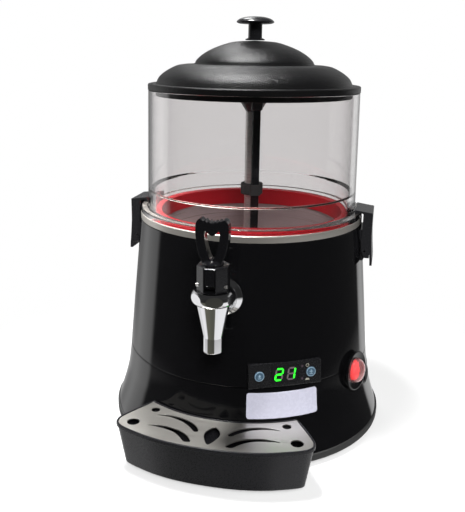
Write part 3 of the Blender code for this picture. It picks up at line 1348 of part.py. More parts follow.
def add_panel():
    frame = panel_frame()
    outline = box_outline(PANEL_HALF_W, PANEL_HALF_H)
    inset = box_outline(PANEL_HALF_W - PANEL_EDGE, PANEL_HALF_H - PANEL_EDGE)
    loops = [
        [frame @ Vector((x, y, z)) for x, y in loop]
        for loop, z in ((outline, -PANEL_DEEP), (outline, -PANEL_EDGE), (inset, 0.0))]
    block = settle("control_panel", *loft(loops), "satin_black")
    hollow = box_outline(PANEL_HALF_W - WALL, PANEL_HALF_H - WALL)
    back = -PANEL_DEEP - CUT_OVERRUN
    face_t = WINDOW_T + GAP + WALL * HALF_SHARE + BUTTON_DEEP
    tool = settle("hollow_tool", *prism(hollow, back, -face_t, frame), "satin_black")
    combine(block, tool, "DIFFERENCE")
    window = box_outline(WINDOW_HALF_W + GAP, WINDOW_HALF_H + GAP)
    tool = settle("window_tool", *prism(window, -WINDOW_T - GAP, CUT_OVERRUN, frame), "satin_black")
    combine(block, tool, "DIFFERENCE")
    for side in (-1.0, 1.0):
        well = circle_outline(BUTTON_R + GAP, SMALL_STEPS, (side * BUTTON_OUT, 0.0))
        tool = settle(
            "well_tool", *prism(well, -BUTTON_DEEP - BUTTON_TRAVEL_ROOM, CUT_OVERRUN, frame), "satin_black")
        combine(block, tool, "DIFFERENCE")


def add_panel_parts():
    frame = panel_frame()
    window = box_outline(WINDOW_HALF_W, WINDOW_HALF_H)
    settle("display_window", *prism(window, -WINDOW_T, 0.0, frame), "smoke")
    edge = BUTTON_PROUD * HALF_SHARE
    for side, word in ((-1.0, "left"), (1.0, "right")):
        place = frame @ Matrix.Translation(Vector((side * BUTTON_OUT, 0.0, 0.0)))
        profile = [
            (0.0, -BUTTON_DEEP), (BUTTON_R, -BUTTON_DEEP), (BUTTON_R, BUTTON_PROUD - edge),
            (BUTTON_R - edge, BUTTON_PROUD), (0.0, BUTTON_PROUD)]
        settle(
            "panel_button_" + word, *revolve(profile, SMALL_STEPS, place), "blue_key",
            place.translation)
    board = box_outline(PANEL_HALF_W - BOARD_EDGE, PANEL_HALF_H - BOARD_EDGE)
    front = -PANEL_DEEP - GAP
    settle("control_board", *prism(board, front - BOARD_T, front, frame), "board_green")


def switch_frame():
    return face_frame(SWITCH_DEG, SWITCH_R, SWITCH_Z, SWITCH_TILT_DEG)


def add_switch():
    frame = switch_frame()
    neck = SHELL_HOLE_R - GAP
    edge = BEZEL_EDGE
    seat = BEZEL_OUT - WALL
    ledge = BOOT_BASE - GAP
    profile = [
        (0.0, -BEZEL_DEEP), (neck, -BEZEL_DEEP), (neck, seat), (BEZEL_R, seat), (BEZEL_R, BEZEL_OUT - edge),
        (BEZEL_R - edge, BEZEL_OUT), (BEZEL_BORE_R, BEZEL_OUT - edge), (BEZEL_BORE_R, ledge),
        (BEZEL_LEDGE_R, ledge), (BEZEL_LEDGE_R, -BEZEL_CELL_DEEP), (0.0, -BEZEL_CELL_DEEP)]
    settle("switch_bezel", *revolve(profile, MIDDLE_STEPS, frame), "satin_black")
    tilt = Matrix.Rotation(math.radians(ROCKER_ON_DEG), 4, "X")
    place = frame @ Matrix.Translation(Vector((0.0, 0.0, ROCKER_AXIS_OUT))) @ tilt
    half = ROCKER_T * HALF_SHARE
    crest = half + ROCKER_RISE * HALF_SHARE
    disc = [
        (0.0, -half), (ROCKER_R, -half), (ROCKER_R, half), (ROCKER_R * RING_EDGE_SHARE, crest),
        (0.0, half)]
    settle("power_rocker", *revolve(disc, SMALL_STEPS, place), "red_lamp", place.translation)
    outer = [(BOOT_R * out, BOOT_BASE + BOOT_H * up) for out, up in BOOT_SHARES]
    clear_h = BOOT_H - BOOT_WALL
    inner = [(BOOT_R * out - BOOT_WALL, BOOT_BASE + clear_h * up) for out, up in BOOT_SHARES]
    profile = outer + [(0.0, BOOT_BASE + BOOT_H), (0.0, BOOT_BASE + clear_h)] + inner[::-1]
    settle("switch_boot", *revolve(profile, SMALL_STEPS, frame), "clear")


def add_rear_fittings():
    shell = flare_radius(GLAND_Z - GLAND_FLANGE_R)
    frame = face_frame(REAR_DEG, 0.0, GLAND_Z, 0.0)
    profile = [
        (GLAND_BORE_R, shell - GLAND_DEEP), (GLAND_R, shell - GLAND_DEEP), (GLAND_R, shell + SEAT),
        (GLAND_FLANGE_R, shell + SEAT), (GLAND_FLANGE_R, shell + WALL), (GLAND_R, shell + GLAND_OUT),
        (GLAND_BORE_R, shell + GLAND_OUT)]
    settle("cable_gland", *revolve(profile, SMALL_STEPS, frame), "matt_black")
    out = shell_radius(DRAIN_Z - DRAIN_HEAD_R) + GAP
    frame = face_frame(REAR_DEG, 0.0, DRAIN_Z, 0.0)
    profile = [
        (0.0, DRAIN_IN_R), (DRAIN_R, DRAIN_IN_R), (DRAIN_R, out), (DRAIN_HEAD_R, out),
        (DRAIN_HEAD_R, out + DRAIN_HEAD_T), (0.0, out + DRAIN_HEAD_T)]
    settle("drain_plug", *revolve(profile, SMALL_STEPS, frame), "satin_black")


def build():
    wipe_scene()
    add_floor_plate()
    add_feet()
    add_lower_shell()
    add_upper_shell()
    add_band()
    add_pan()
    add_water_tank()
    add_heating_ring()
    add_drive_tube()
    add_gearbox()
    add_motor()
    add_motor_bracket()
    add_drive_shaft()
    add_stirrer_hub()
    add_stirrer_bar()
    add_guide_clip()
    add_paddle()
    add_bowl()
    add_gasket()
    add_lid()
    add_knob()
    for side, word in ((-1.0, "left"), (1.0, "right")):
        add_latch(side, word)
        add_latch_bracket(side, word)
    add_tap_body()
    add_tap_mounts()
    add_bonnet()
    add_lever()
    add_tap_valve()
    add_tray()
    add_grille()
    add_panel()
    add_panel_parts()
    add_switch()
    add_rear_fittings()


build()
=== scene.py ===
import json
import math

import bmesh
import bpy
from mathutils import Matrix, Vector

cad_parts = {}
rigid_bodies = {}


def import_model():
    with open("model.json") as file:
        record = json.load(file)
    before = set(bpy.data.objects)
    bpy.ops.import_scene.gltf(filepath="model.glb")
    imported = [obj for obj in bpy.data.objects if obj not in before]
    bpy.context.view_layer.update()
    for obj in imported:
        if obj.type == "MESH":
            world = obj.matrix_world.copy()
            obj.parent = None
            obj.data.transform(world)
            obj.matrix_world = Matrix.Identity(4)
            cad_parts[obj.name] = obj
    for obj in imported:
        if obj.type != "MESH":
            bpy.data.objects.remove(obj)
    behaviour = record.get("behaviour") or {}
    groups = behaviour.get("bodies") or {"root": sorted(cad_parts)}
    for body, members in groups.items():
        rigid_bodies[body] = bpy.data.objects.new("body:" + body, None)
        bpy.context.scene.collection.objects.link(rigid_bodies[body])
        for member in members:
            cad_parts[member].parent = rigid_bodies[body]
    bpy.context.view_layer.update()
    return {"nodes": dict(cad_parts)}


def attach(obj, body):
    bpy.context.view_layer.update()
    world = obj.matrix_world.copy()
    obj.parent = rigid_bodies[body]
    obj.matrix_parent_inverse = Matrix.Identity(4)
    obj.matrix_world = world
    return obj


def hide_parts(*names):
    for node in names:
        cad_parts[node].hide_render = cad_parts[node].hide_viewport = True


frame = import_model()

bl_info = {
    "name": "Drink dispenser",
    "version": (1, 0, 0),
    "blender": (4, 5, 0),
    "location": "3D View > Sidebar > Dispenser",
    "description": "Builds a heated drink dispenser with a clear bowl, a lever tap and a drip tray",
    "category": "Add Mesh",
}

# Heights are above the floor and radii from the body axis, in metres; the tap faces -Y.
GAP = 0.0003
SHEET = 0.0012
ROUND = 192
MIDDLE = 96
SMALL = 48
TRAY_REAR_TURN = 0.5498
FLAT_FLOOR_ALPHA = 0.45
REFLECTED_FILL = (0.05, 0.05, 0.05, 1.0)
OVERHEAD_TONE = (0.03, 0.03, 0.03, 1.0)
LAMP_AIM = (0.0, 0.0, 0.2)
# Soft lamps that leave no reflection of their own: name, place, power in watts
SOFT_LAMPS = (
    ("front_lamp", (0.5, -1.6, 1.5), 40.0), ("right_lamp", (1.1, -0.1, 0.7), 5.0),
    ("left_lamp", (-1.1, 0.1, 0.6), 5.0))
SOFT_LAMP_SIDE = 0.6
# Camera: yaw, pitch and roll before the swing round the machine, in degrees
CAMERA_DEGREES = (-1.83, 16.58, 0.81, 11.0)
CAMERA_SPOT = (0.13967, -0.69705, 0.3931)

FLARE_SHARES = (
    (1.0, 0.0), (0.9, 0.07), (0.72, 0.19), (0.54, 0.32),
    (0.37, 0.46), (0.22, 0.61), (0.1, 0.79), (0.0, 1.0))
LOWER_DOME_SHARES = ((1.0, 0.0), (0.965, 0.34), (0.895, 0.63), (0.79, 0.9), (0.7, 0.985))
UPPER_DOME_SHARES = (
    (0.985, 0.03), (0.96, 0.16), (0.89, 0.335), (0.795, 0.505), (0.67, 0.67), (0.5, 0.835), (0.32, 0.95),
    (0.0, 1.0))
KNOB_CAP_SHARES = ((0.52, 0.0), (0.86, 0.06), (1.0, 0.22), (0.98, 0.42), (0.8, 0.72), (0.45, 0.94), (0.0, 1.0))
LATCH_BACK_SHARES = ((0.0, 0.0), (0.0, 0.36), (0.16, 0.52), (0.5, 0.72), (0.9, 0.9), (1.0, 1.0))
LEVER_OUT_SHARES = (
    (0.0, 0.0), (0.5, 0.0), (0.66, 0.1), (0.82, 0.25), (0.94, 0.44), (1.0, 0.66), (1.0, 0.83),
    (0.95, 0.93), (0.83, 0.99), (0.66, 1.0), (0.54, 0.955), (0.42, 0.975), (0.3, 0.93),
    (0.18, 0.955), (0.07, 0.915), (0.0, 0.935))
LEVER_HOLE_SHARES = (
    (0.0, 0.08), (0.16, 0.16), (0.3, 0.3), (0.42, 0.5), (0.47, 0.65), (0.44, 0.735),
    (0.32, 0.715), (0.2, 0.675), (0.1, 0.65), (0.0, 0.642))
TRAY_SIDE_SHARES = (
    (0.0, 1.0), (0.16, 0.998), (0.32, 0.991), (0.48, 0.978), (0.63, 0.959), (0.78, 0.932),
    (0.9, 0.906), (0.96, 0.886), (0.995, 0.857), (0.985, 0.815), (0.9, 0.736), (0.81, 0.662))
LEAF_SHARES = (
    (0.0, 0.802), (0.065, 0.84), (0.074, 0.892), (0.0, 0.964), (-0.074, 0.892), (-0.065, 0.84))
BACK_CUT_SHARES = (
    (0.651, 0.755), (0.508, 0.745), (0.37, 0.758), (0.249, 0.788), (0.175, 0.828), (0.152, 0.858),
    (0.19, 0.866), (0.241, 0.838), (0.307, 0.808), (0.381, 0.784), (0.508, 0.761))
FRONT_CUT_SHARES = (
    (0.686, 0.862), (0.561, 0.85), (0.455, 0.855), (0.328, 0.876), (0.231, 0.912), (0.175, 0.957),
    (0.212, 0.966), (0.25, 0.962), (0.302, 0.931), (0.381, 0.897), (0.476, 0.878), (0.593, 0.867))
HOLE_SPOTS = (((0.698, 0.707), 0.0044), ((0.842, 0.85), 0.0061))
BOOT_SHARES = ((1.0, 0.0), (1.0, 0.35), (0.93, 0.65), (0.72, 0.88), (0.4, 0.98), (0.0, 1.0))
# Seven-segment digits: segment letter to its two ends, in shares of digit half width and half height
SEGMENTS = {
    "a": ((-1, 1), (1, 1)), "b": ((1, 1), (1, 0)), "c": ((1, 0), (1, -1)), "d": ((-1, -1), (1, -1)),
    "e": ((-1, -1), (-1, 0)), "f": ((-1, 0), (-1, 1)), "g": ((-1, 0), (1, 0))}
LIT = ("abged", "bc")


def length(name, text, value):
    return bpy.props.FloatProperty(
        name=name, description=text, default=value, unit="LENGTH", subtype="DISTANCE", precision=5)


def turn(name, text, value):
    return bpy.props.FloatProperty(
        name=name, description=text, default=math.radians(value), unit="ROTATION", subtype="ANGLE")


def tint(name, text, value):
    return bpy.props.FloatVectorProperty(
        name=name, description=text, default=(*value, 1.0), size=4, min=0.0, max=1.0, subtype="COLOR")


class DispenserSizes(bpy.types.PropertyGroup):
    axis_y: length("Axis Y", "Distance of the body axis behind the centre of the footprint", 0.0215)
    base_r: length("Base radius", "Radius of the floor plate", 0.1495)
    foot_h: length("Foot height", "Height of the rubber feet", 0.0045)
    plate_top: length("Plate top", "Height of the floor plate's top", 0.0122)
    flare_r: length("Flare radius", "Radius of the lower shell at the floor plate", 0.1478)
    seam_r: length("Seam radius", "Radius of both shells at the seam", 0.1323)
    seam_z: length("Seam height", "Height of the seam between the shells", 0.0819)
    wall: length("Wall", "Wall of the moulded shells", 0.003)
    neck_r: length("Neck radius", "Radius of the upper shell under the steel band", 0.1186)
    neck_z: length("Neck height", "Height of the upper shell's rim", 0.2229)
    band_top: length("Band top", "Height of the steel band's top", 0.2295)
    throat_r: length("Throat radius", "Inner radius of the drink pan", 0.0985)
    pan_floor: length("Pan floor", "Height of the drink pan's floor", 0.1585)
    bowl_flange_r: length("Bowl flange radius", "Radius of the bowl's foot flange", 0.1183)
    bowl_flange_top: length("Bowl flange top", "Height of the flange's top", 0.2346)
    bowl_foot_r: length("Bowl foot radius", "Radius of the bowl wall at the flange", 0.1108)
    bowl_top_r: length("Bowl top radius", "Radius of the bowl wall at the rim", 0.1086)
    bowl_top: length("Bowl top", "Height of the bowl's rim", 0.3546)
    bowl_wall: length("Bowl wall", "Thickness of the clear wall", 0.003)
    lid_r: length("Lid radius", "Radius of the lid's rim", 0.109)
    lid_rim_h: length("Lid rim", "Height of the lid's rim", 0.0058)
    lower_dome_r: length("Lower dome radius", "Radius at the foot of the lower dome", 0.1008)
    lower_dome_h: length("Lower dome height", "Height of the lower dome", 0.0198)
    step_r: length("Step radius", "Radius of the step between the domes", 0.0618)
    upper_dome_h: length("Upper dome height", "Height of the upper dome", 0.0232)
    knob_r: length("Knob radius", "Radius of the lid knob's cap", 0.0188)
    knob_under: length("Knob underside", "Height of the cap's underside", 0.4196)
    knob_top: length("Knob top", "Height of the knob's top", 0.427)
    tube_r: length("Tube radius", "Radius of the stirrer tube", 0.0078)
    tube_top: length("Tube top", "Height of the stirrer tube's top", 0.3332)
    stir_turn: turn("Stirrer heading", "Heading of the stirrer bar at rest", 28.0)
    tap_reach: length("Tap reach", "Distance of the spout ahead of the body axis", 0.165)
    spout_low: length("Spout mouth", "Height of the spout's mouth", 0.1336)
    spout_r: length("Spout radius", "Outer radius of the spout", 0.0088)
    cone_r: length("Cone radius", "Radius of the tap's cone at its top", 0.0151)
    cone_top: length("Cone top", "Height of the cone's top", 0.1795)
    ring_r: length("Ring radius", "Radius of the barrel ring on the tap", 0.0197)
    ring_low: length("Ring low", "Height of the ring's lower edge", 0.1803)
    ring_top: length("Ring top", "Height of the ring's upper edge", 0.1924)
    bonnet_r: length("Bonnet radius", "Corner radius of the eight-sided bonnet", 0.0149)
    bonnet_top: length("Bonnet top", "Height of the bonnet", 0.216)
    lever_half_w: length("Lever half width", "Half width of the lever loop", 0.0146)
    lever_low: length("Lever low", "Height of the loop's foot", 0.2172)
    lever_top: length("Lever top", "Height of the loop's top", 0.2568)
    tray_half_w: length("Tray half width", "Half width of the drip tray", 0.0945)
    tray_front: length("Tray front", "Distance of the tray's front from the body axis", 0.1903)
    tray_top: length("Tray top", "Height of the tray's rim", 0.0496)
    panel_turn: turn("Panel heading", "Heading of the control panel", 27.2)
    panel_z: length("Panel height", "Height of the panel's centre", 0.0953)
    panel_half_w: length("Panel half width", "Half width of the control panel", 0.0368)
    panel_half_h: length("Panel half height", "Half height of the control panel", 0.0122)
    switch_turn: turn("Switch heading", "Heading of the mains switch", 66.5)
    switch_z: length("Switch height", "Height of the switch's centre", 0.0775)
    bezel_r: length("Bezel radius", "Radius of the switch's ring", 0.0205)
    badge_turn: turn("Badge heading", "Heading of the bare badge plate", 26.4)
    badge_z: length("Badge height", "Height of the badge's centre", 0.0643)
    badge_half_w: length("Badge half width", "Half width of the badge", 0.0364)
    badge_half_h: length("Badge half height", "Half height of the badge", 0.013)


class DispenserColours(bpy.types.PropertyGroup):
    shell: tint("Shell", "Polished housing", (0.0035, 0.0035, 0.004))
    base: tint("Base", "Floor plate and glands", (0.02, 0.02, 0.021))
    rubber: tint("Rubber", "Feet and seals", (0.025, 0.025, 0.025))
    lid: tint("Lid", "Grained lid", (0.004, 0.004, 0.0042))
    knob: tint("Knob", "Lid knob", (0.009, 0.009, 0.01))
    latch: tint("Latch", "Side latches", (0.018, 0.018, 0.02))
    tray: tint("Tray", "Drip tray", (0.014, 0.014, 0.016))
    lever: tint("Lever", "Tap lever and bonnet", (0.006, 0.006, 0.007))
    steel: tint("Steel", "Brushed band and grille", (0.68, 0.655, 0.61))
    inner_steel: tint("Inner steel", "Drawn pan", (0.5, 0.4, 0.4))
    chrome: tint("Chrome", "Tap body", (0.82, 0.82, 0.84))
    bowl: tint("Bowl", "Clear bowl wall", (0.82, 0.805, 0.805))
    gasket: tint("Gasket", "Red silicone", (0.46, 0.012, 0.02))
    panel: tint("Panel", "Control panel", (0.008, 0.008, 0.009))
    lit: tint("Lit segment", "Lit segments of the display", (0.02, 0.95, 0.02))
    # The unlit segments' colour also drives their faint painted glow.
    unlit: tint("Unlit segment", "Unlit segments of the display", (0.11, 0.085, 0.095))
    key: tint("Key", "Panel buttons", (0.05, 0.1, 0.15))
    mark: tint("Mark", "Marks on the keys", (0.3, 0.42, 0.52))
    badge: tint("Badge", "Bare badge plate", (0.62, 0.62, 0.74))
    lamp: tint("Lamp", "Lit rocker", (0.85, 0.012, 0.02))
    boot: tint("Boot", "Clear splash boot", (0.8, 0.5, 0.5))
    floor: tint("Floor", "Studio floor", (0.86, 0.86, 0.86))


def sizes():
    return bpy.context.scene.dispenser_sizes


def colours():
    return bpy.context.scene.dispenser_colours


# Outlines


def smooth_path(points, steps=5, closed=False):
    """Denser path through the given points, curved between them."""
    made = []
    count = len(points)
    spans = count if closed else count - 1
    for index in range(spans):
        if closed:
            around = [Vector(points[(index + k) % count]) for k in (-1, 0, 1, 2)]
        else:
            around = [Vector(points[min(max(index + k, 0), count - 1)]) for k in (-1, 0, 1, 2)]
        p0, p1, p2, p3 = around
        for step in range(steps):
            t = step / steps
            spot = p1 * 2 + (p2 - p0) * t + (p0 * 2 - p1 * 5 + p2 * 4 - p3) * t * t
            spot += (p1 * 3 - p0 - p2 * 3 + p3) * t * t * t
            made.append(tuple(spot / 2))
    if not closed:
        made.append(tuple(points[-1]))
    return made


def rounded(points, radii, steps=4, closed=True):
    """The outline with an arc in place of each corner that has a radius."""
    made = []
    count = len(points)
    for index, corner in enumerate(points):
        radius = radii[index] if isinstance(radii, (list, tuple)) else radii
        end = not closed and index in (0, count - 1)
        if radius <= 0.0 or end:
            made.append(tuple(corner))
            continue
        here = Vector(corner)
        before = Vector(points[index - 1]) - here
        after = Vector(points[(index + 1) % count]) - here
        half = before.angle(after) / 2
        if half > 1.5:
            made.append(tuple(corner))
            continue
        reach = min(radius / math.tan(half), before.length * 0.48, after.length * 0.48)
        start = here + before.normalized() * reach
        stop = here + after.normalized() * reach
        weight = math.sin(half)
        for step in range(steps + 1):
            t = step / steps
            a, b, c = (1 - t) ** 2, 2 * t * (1 - t) * weight, t * t
            made.append(tuple((start * a + here * b + stop * c) / (a + b + c)))
    return made


def profile(*entries, steps=4, closed=True):
    """Outline from (x, y) or (x, y, corner radius) entries."""
    return rounded(
        [entry[:2] for entry in entries], [entry[2] if len(entry) > 2 else 0.0 for entry in entries],
        steps, closed)


def mirrored(half):
    return half + [(-x, y) for x, y in half[-2:0:-1]]


def circle(radius, steps, centre=(0.0, 0.0), first=0.0):
    turns = [math.tau * (step + first) / steps for step in range(steps)]
    return [(centre[0] + radius * math.cos(t), centre[1] + radius * math.sin(t)) for t in turns]


def block(half_x, half_y, centre=(0.0, 0.0)):
    x, y = centre
    return [(x - half_x, y - half_y), (x + half_x, y - half_y),
            (x + half_x, y + half_y), (x - half_x, y + half_y)]


# Frames


def axes_frame(origin, x_axis, z_axis):
    z_dir = Vector(z_axis).normalized()
    y_dir = z_dir.cross(Vector(x_axis)).normalized()
    turned_axes = Matrix((y_dir.cross(z_dir), y_dir, z_dir)).transposed().to_4x4()
    return Matrix.Translation(Vector(origin)) @ turned_axes


def heading(angle):
    """Unit direction on the plan, 0 at the front and a quarter turn at the right-hand side."""
    return Vector((math.sin(angle), -math.cos(angle), 0.0))


def face_frame(angle, radius, height, tilt=0.0):
    """Frame on the body's side: X to the right, Y up the face, Z outward."""
    out = heading(angle)
    normal = out * math.cos(tilt) + Vector((0.0, 0.0, math.sin(tilt)))
    return axes_frame(out * radius + Vector((0.0, 0.0, height)), Vector((-out.y, out.x, 0.0)), normal)


def side_frame(side):
    return Matrix(((side, 0.0, 0.0), (0.0, 0.0, 1.0), (0.0, 1.0, 0.0))).to_4x4()


def tap_frame():
    return Matrix.Translation(Vector((0.0, -sizes().tap_reach, 0.0)))


# Solids


def turned(outline, steps=ROUND, place=None):
    """Closed solid of revolution of a (radius, height) outline about Z."""
    work = bmesh.new()
    verts = [work.verts.new((radius, 0.0, height)) for radius, height in outline]
    edges = [work.edges.new(pair) for pair in zip(verts, verts[1:])]
    if not (outline[0][0] == 0.0 and outline[-1][0] == 0.0):
        edges.append(work.edges.new((verts[-1], verts[0])))
    bmesh.ops.spin(
        work, geom=verts + edges, axis=(0, 0, 1), cent=(0, 0, 0), dvec=(0, 0, 0), angle=math.tau,
        steps=steps, use_merge=True, use_duplicate=False)
    bmesh.ops.remove_doubles(work, verts=work.verts[:], dist=0.000002)
    bmesh.ops.dissolve_degenerate(work, dist=0.000001, edges=work.edges[:])
    return finish_solid(work, place)


def finish_solid(work, place=None):
    if place is not None:
        bmesh.ops.transform(work, matrix=place, verts=work.verts[:])
    bmesh.ops.recalc_face_normals(work, faces=work.faces[:])
    return work


def extruded(outline, low, high, place=None):
    """Straight solid on an outline between two levels."""
    work = bmesh.new()
    face = work.faces.new([work.verts.new((x, y, low)) for x, y in outline])
    grown = bmesh.ops.extrude_face_region(work, geom=[face])["geom"]
    moved = [part for part in grown if isinstance(part, bmesh.types.BMVert)]
    bmesh.ops.translate(work, verts=moved, vec=(0.0, 0.0, high - low))
    return finish_solid(work, place)


def soften(work, width, segments=3, angle=0.7, pick=None):
    """Rounds the sharp edges of a solid."""
    edges = []
    for edge in work.edges:
        if len(edge.link_faces) == 2 and edge.calc_face_angle(0.0) > angle:
            if pick is None or pick(edge):
                edges.append(edge)
    bmesh.ops.bevel(
        work, geom=edges, offset=width, offset_type="OFFSET", affect="EDGES", segments=segments,
        profile=0.5, material=-1, clamp_overlap=True)
    bmesh.ops.recalc_face_normals(work, faces=work.faces[:])
    return work


def swept(loops, place=None):
    """Closed solid bridged through matching closed loops, capped at both ends."""
    work = bmesh.new()
    rings = []
    for loop in loops:
        verts = [work.verts.new(point) for point in loop]
        rings.append([work.edges.new((verts[k - 1], verts[k])) for k in range(len(verts))])
    for low, high in zip(rings, rings[1:]):
        bmesh.ops.bridge_loops(work, edges=low + high)
    for ring in (rings[0], rings[-1]):
        bmesh.ops.contextual_create(work, geom=ring)
    return finish_solid(work, place)


def joined(*works):
    """Several solids in one mesh."""
    mesh = bpy.data.meshes.new("join")
    whole = bmesh.new()
    for work in works:
        work.to_mesh(mesh)
        whole.from_mesh(mesh)
        work.free()
    bpy.data.meshes.remove(mesh)
    return whole


def shaped(work, tool, operation="DIFFERENCE"):
    """Boolean of two solids."""
    pair = []
    for solid in (work, tool):
        mesh = bpy.data.meshes.new("solid")
        solid.to_mesh(mesh)
        solid.free()
        thing = bpy.data.objects.new("solid", mesh)
        bpy.context.scene.collection.objects.link(thing)
        pair.append(thing)
    step = pair[0].modifiers.new("shape", "BOOLEAN")
    step.operation = operation
    step.solver = "EXACT"
    step.object = pair[1]
    bpy.context.view_layer.update()
    graph = bpy.context.evaluated_depsgraph_get()
    result = bpy.data.meshes.new_from_object(pair[0].evaluated_get(graph))
    made = bmesh.new()
    made.from_mesh(result)
    for thing in pair:
        bpy.data.meshes.remove(thing.data)
    bpy.data.meshes.remove(result)
    bmesh.ops.remove_doubles(made, verts=made.verts[:], dist=0.000001)
    bmesh.ops.dissolve_degenerate(made, dist=0.000001, edges=made.edges[:])
    bmesh.ops.recalc_face_normals(made, faces=made.faces[:])
    return made


def weigh_normals(thing):
    """Large faces keep their own direction, so only the rounded edges between them shade round."""
    step = thing.modifiers.new("normals", "WEIGHTED_NORMAL")
    step.keep_sharp = True
    step.weight = 60
    bpy.context.view_layer.update()
    graph = bpy.context.evaluated_depsgraph_get()
    made = bpy.data.meshes.new_from_object(thing.evaluated_get(graph), depsgraph=graph)
    made.name = thing.name
    before = thing.data
    thing.modifiers.clear()
    thing.data = made
    bpy.data.meshes.remove(before)


def piece(name, work, finish, body, stands_for=(), angle=32.0, settled=True):
    """Keeps a solid as a named piece that rides on its body."""
    mesh = bpy.data.meshes.new(name)
    if settled:
        bmesh.ops.translate(work, verts=work.verts[:], vec=(0.0, sizes().axis_y, 0.0))
    work.to_mesh(mesh)
    work.free()
    for face in mesh.polygons:
        face.use_smooth = True
    mesh.set_sharp_from_angle(angle=math.radians(angle))
    mesh.materials.append(finish)
    thing = bpy.data.objects.new(name, mesh)
    bpy.context.scene.collection.objects.link(thing)
    weigh_normals(thing)
    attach(thing, body)
    if stands_for:
        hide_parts(*stands_for)
    return thing


# Node groups and materials


def add_node(tree, kind, **values):
    made = tree.nodes.new(kind)
    for key, value in values.items():
        setattr(made, key, value)
    return made


def group(name, ins, outs):
    """Empty shared node group with named sockets."""
    tree = bpy.data.node_groups.new(name, "ShaderNodeTree")
    for label, kind, value in ins:
        socket = tree.interface.new_socket(name=label, in_out="INPUT", socket_type=kind)
        if value is not None:
            socket.default_value = value
    for label, kind in outs:
        tree.interface.new_socket(name=label, in_out="OUTPUT", socket_type=kind)
    return tree, add_node(tree, "NodeGroupInput"), add_node(tree, "NodeGroupOutput")


def surface_group():
    """Grain: a noise in object space as a roughness value and a bump normal."""
    found = bpy.data.node_groups.get("surface_grain")
    if found:
        return found
    number, vector = "NodeSocketFloat", "NodeSocketVector"
    tree, start, stop = group(
        "surface_grain",
        (("Stretch", vector, (1.0, 1.0, 1.0)), ("Scale", number, 400.0), ("Low", number, 0.2),
         ("High", number, 0.3), ("Depth", number, 0.0001), ("Detail", number, 2.0)),
        (("Value", number), ("Normal", vector)))
    link = tree.links.new
    place = add_node(tree, "ShaderNodeTexCoord")
    scaled = add_node(tree, "ShaderNodeVectorMath", operation="MULTIPLY")
    noise = add_node(tree, "ShaderNodeTexNoise")
    spread = add_node(tree, "ShaderNodeMapRange")
    bump = add_node(tree, "ShaderNodeBump")
    spread.inputs["From Min"].default_value = 0.3
    spread.inputs["From Max"].default_value = 0.7
    link(place.outputs["Object"], scaled.inputs[0])
    link(start.outputs["Stretch"], scaled.inputs[1])
    link(scaled.outputs["Vector"], noise.inputs["Vector"])
    link(start.outputs["Scale"], noise.inputs["Scale"])
    link(start.outputs["Detail"], noise.inputs["Detail"])
    link(noise.outputs["Fac"], spread.inputs["Value"])
    link(start.outputs["Low"], spread.inputs["To Min"])
    link(start.outputs["High"], spread.inputs["To Max"])
    link(noise.outputs["Fac"], bump.inputs["Height"])
    link(start.outputs["Depth"], bump.inputs["Distance"])
    link(spread.outputs["Result"], stop.inputs["Value"])
    link(bump.outputs["Normal"], stop.inputs["Normal"])
    return tree


def tone_group():
    """Tone: a base colour that drifts a little between two shades, with sparse specks."""
    found = bpy.data.node_groups.get("tone_drift")
    if found:
        return found
    number, colour = "NodeSocketFloat", "NodeSocketColor"
    tree, start, stop = group(
        "tone_drift",
        (("Base", colour, (0.5, 0.5, 0.5, 1.0)), ("Drift", number, 0.1), ("Scale", number, 18.0),
         ("Specks", number, 0.0), ("Speck Colour", colour, (0.3, 0.29, 0.27, 1.0))),
        (("Color", colour),))
    link = tree.links.new
    place = add_node(tree, "ShaderNodeTexCoord")
    noise = add_node(tree, "ShaderNodeTexNoise")
    noise.inputs["Detail"].default_value = 3.0
    spread = add_node(tree, "ShaderNodeMapRange")
    less = add_node(tree, "ShaderNodeMath", operation="SUBTRACT")
    more = add_node(tree, "ShaderNodeMath", operation="ADD")
    less.inputs[0].default_value = 1.0
    more.inputs[0].default_value = 1.0
    shade = add_node(tree, "ShaderNodeVectorMath", operation="SCALE")
    fine = add_node(tree, "ShaderNodeTexNoise")
    fine.inputs["Scale"].default_value = 1100.0
    sparse = add_node(tree, "ShaderNodeMapRange")
    sparse.inputs["From Min"].default_value = 0.68
    sparse.inputs["From Max"].default_value = 0.74
    amount = add_node(tree, "ShaderNodeMath", operation="MULTIPLY")
    mix = add_node(tree, "ShaderNodeMix", data_type="RGBA")
    link(place.outputs["Object"], noise.inputs["Vector"])
    link(place.outputs["Object"], fine.inputs["Vector"])
    link(start.outputs["Scale"], noise.inputs["Scale"])
    link(noise.outputs["Fac"], spread.inputs["Value"])
    link(start.outputs["Drift"], less.inputs[1])
    link(start.outputs["Drift"], more.inputs[1])
    link(less.outputs[0], spread.inputs["To Min"])
    link(more.outputs[0], spread.inputs["To Max"])
    link(start.outputs["Base"], shade.inputs[0])
    link(spread.outputs["Result"], shade.inputs["Scale"])
    link(fine.outputs["Fac"], sparse.inputs["Value"])
    link(sparse.outputs["Result"], amount.inputs[0])
    link(start.outputs["Specks"], amount.inputs[1])
    link(amount.outputs[0], mix.inputs[0])
    link(shade.outputs["Vector"], mix.inputs[6])
    link(start.outputs["Speck Colour"], mix.inputs[7])
    link(mix.outputs[2], stop.inputs["Color"])
    return tree


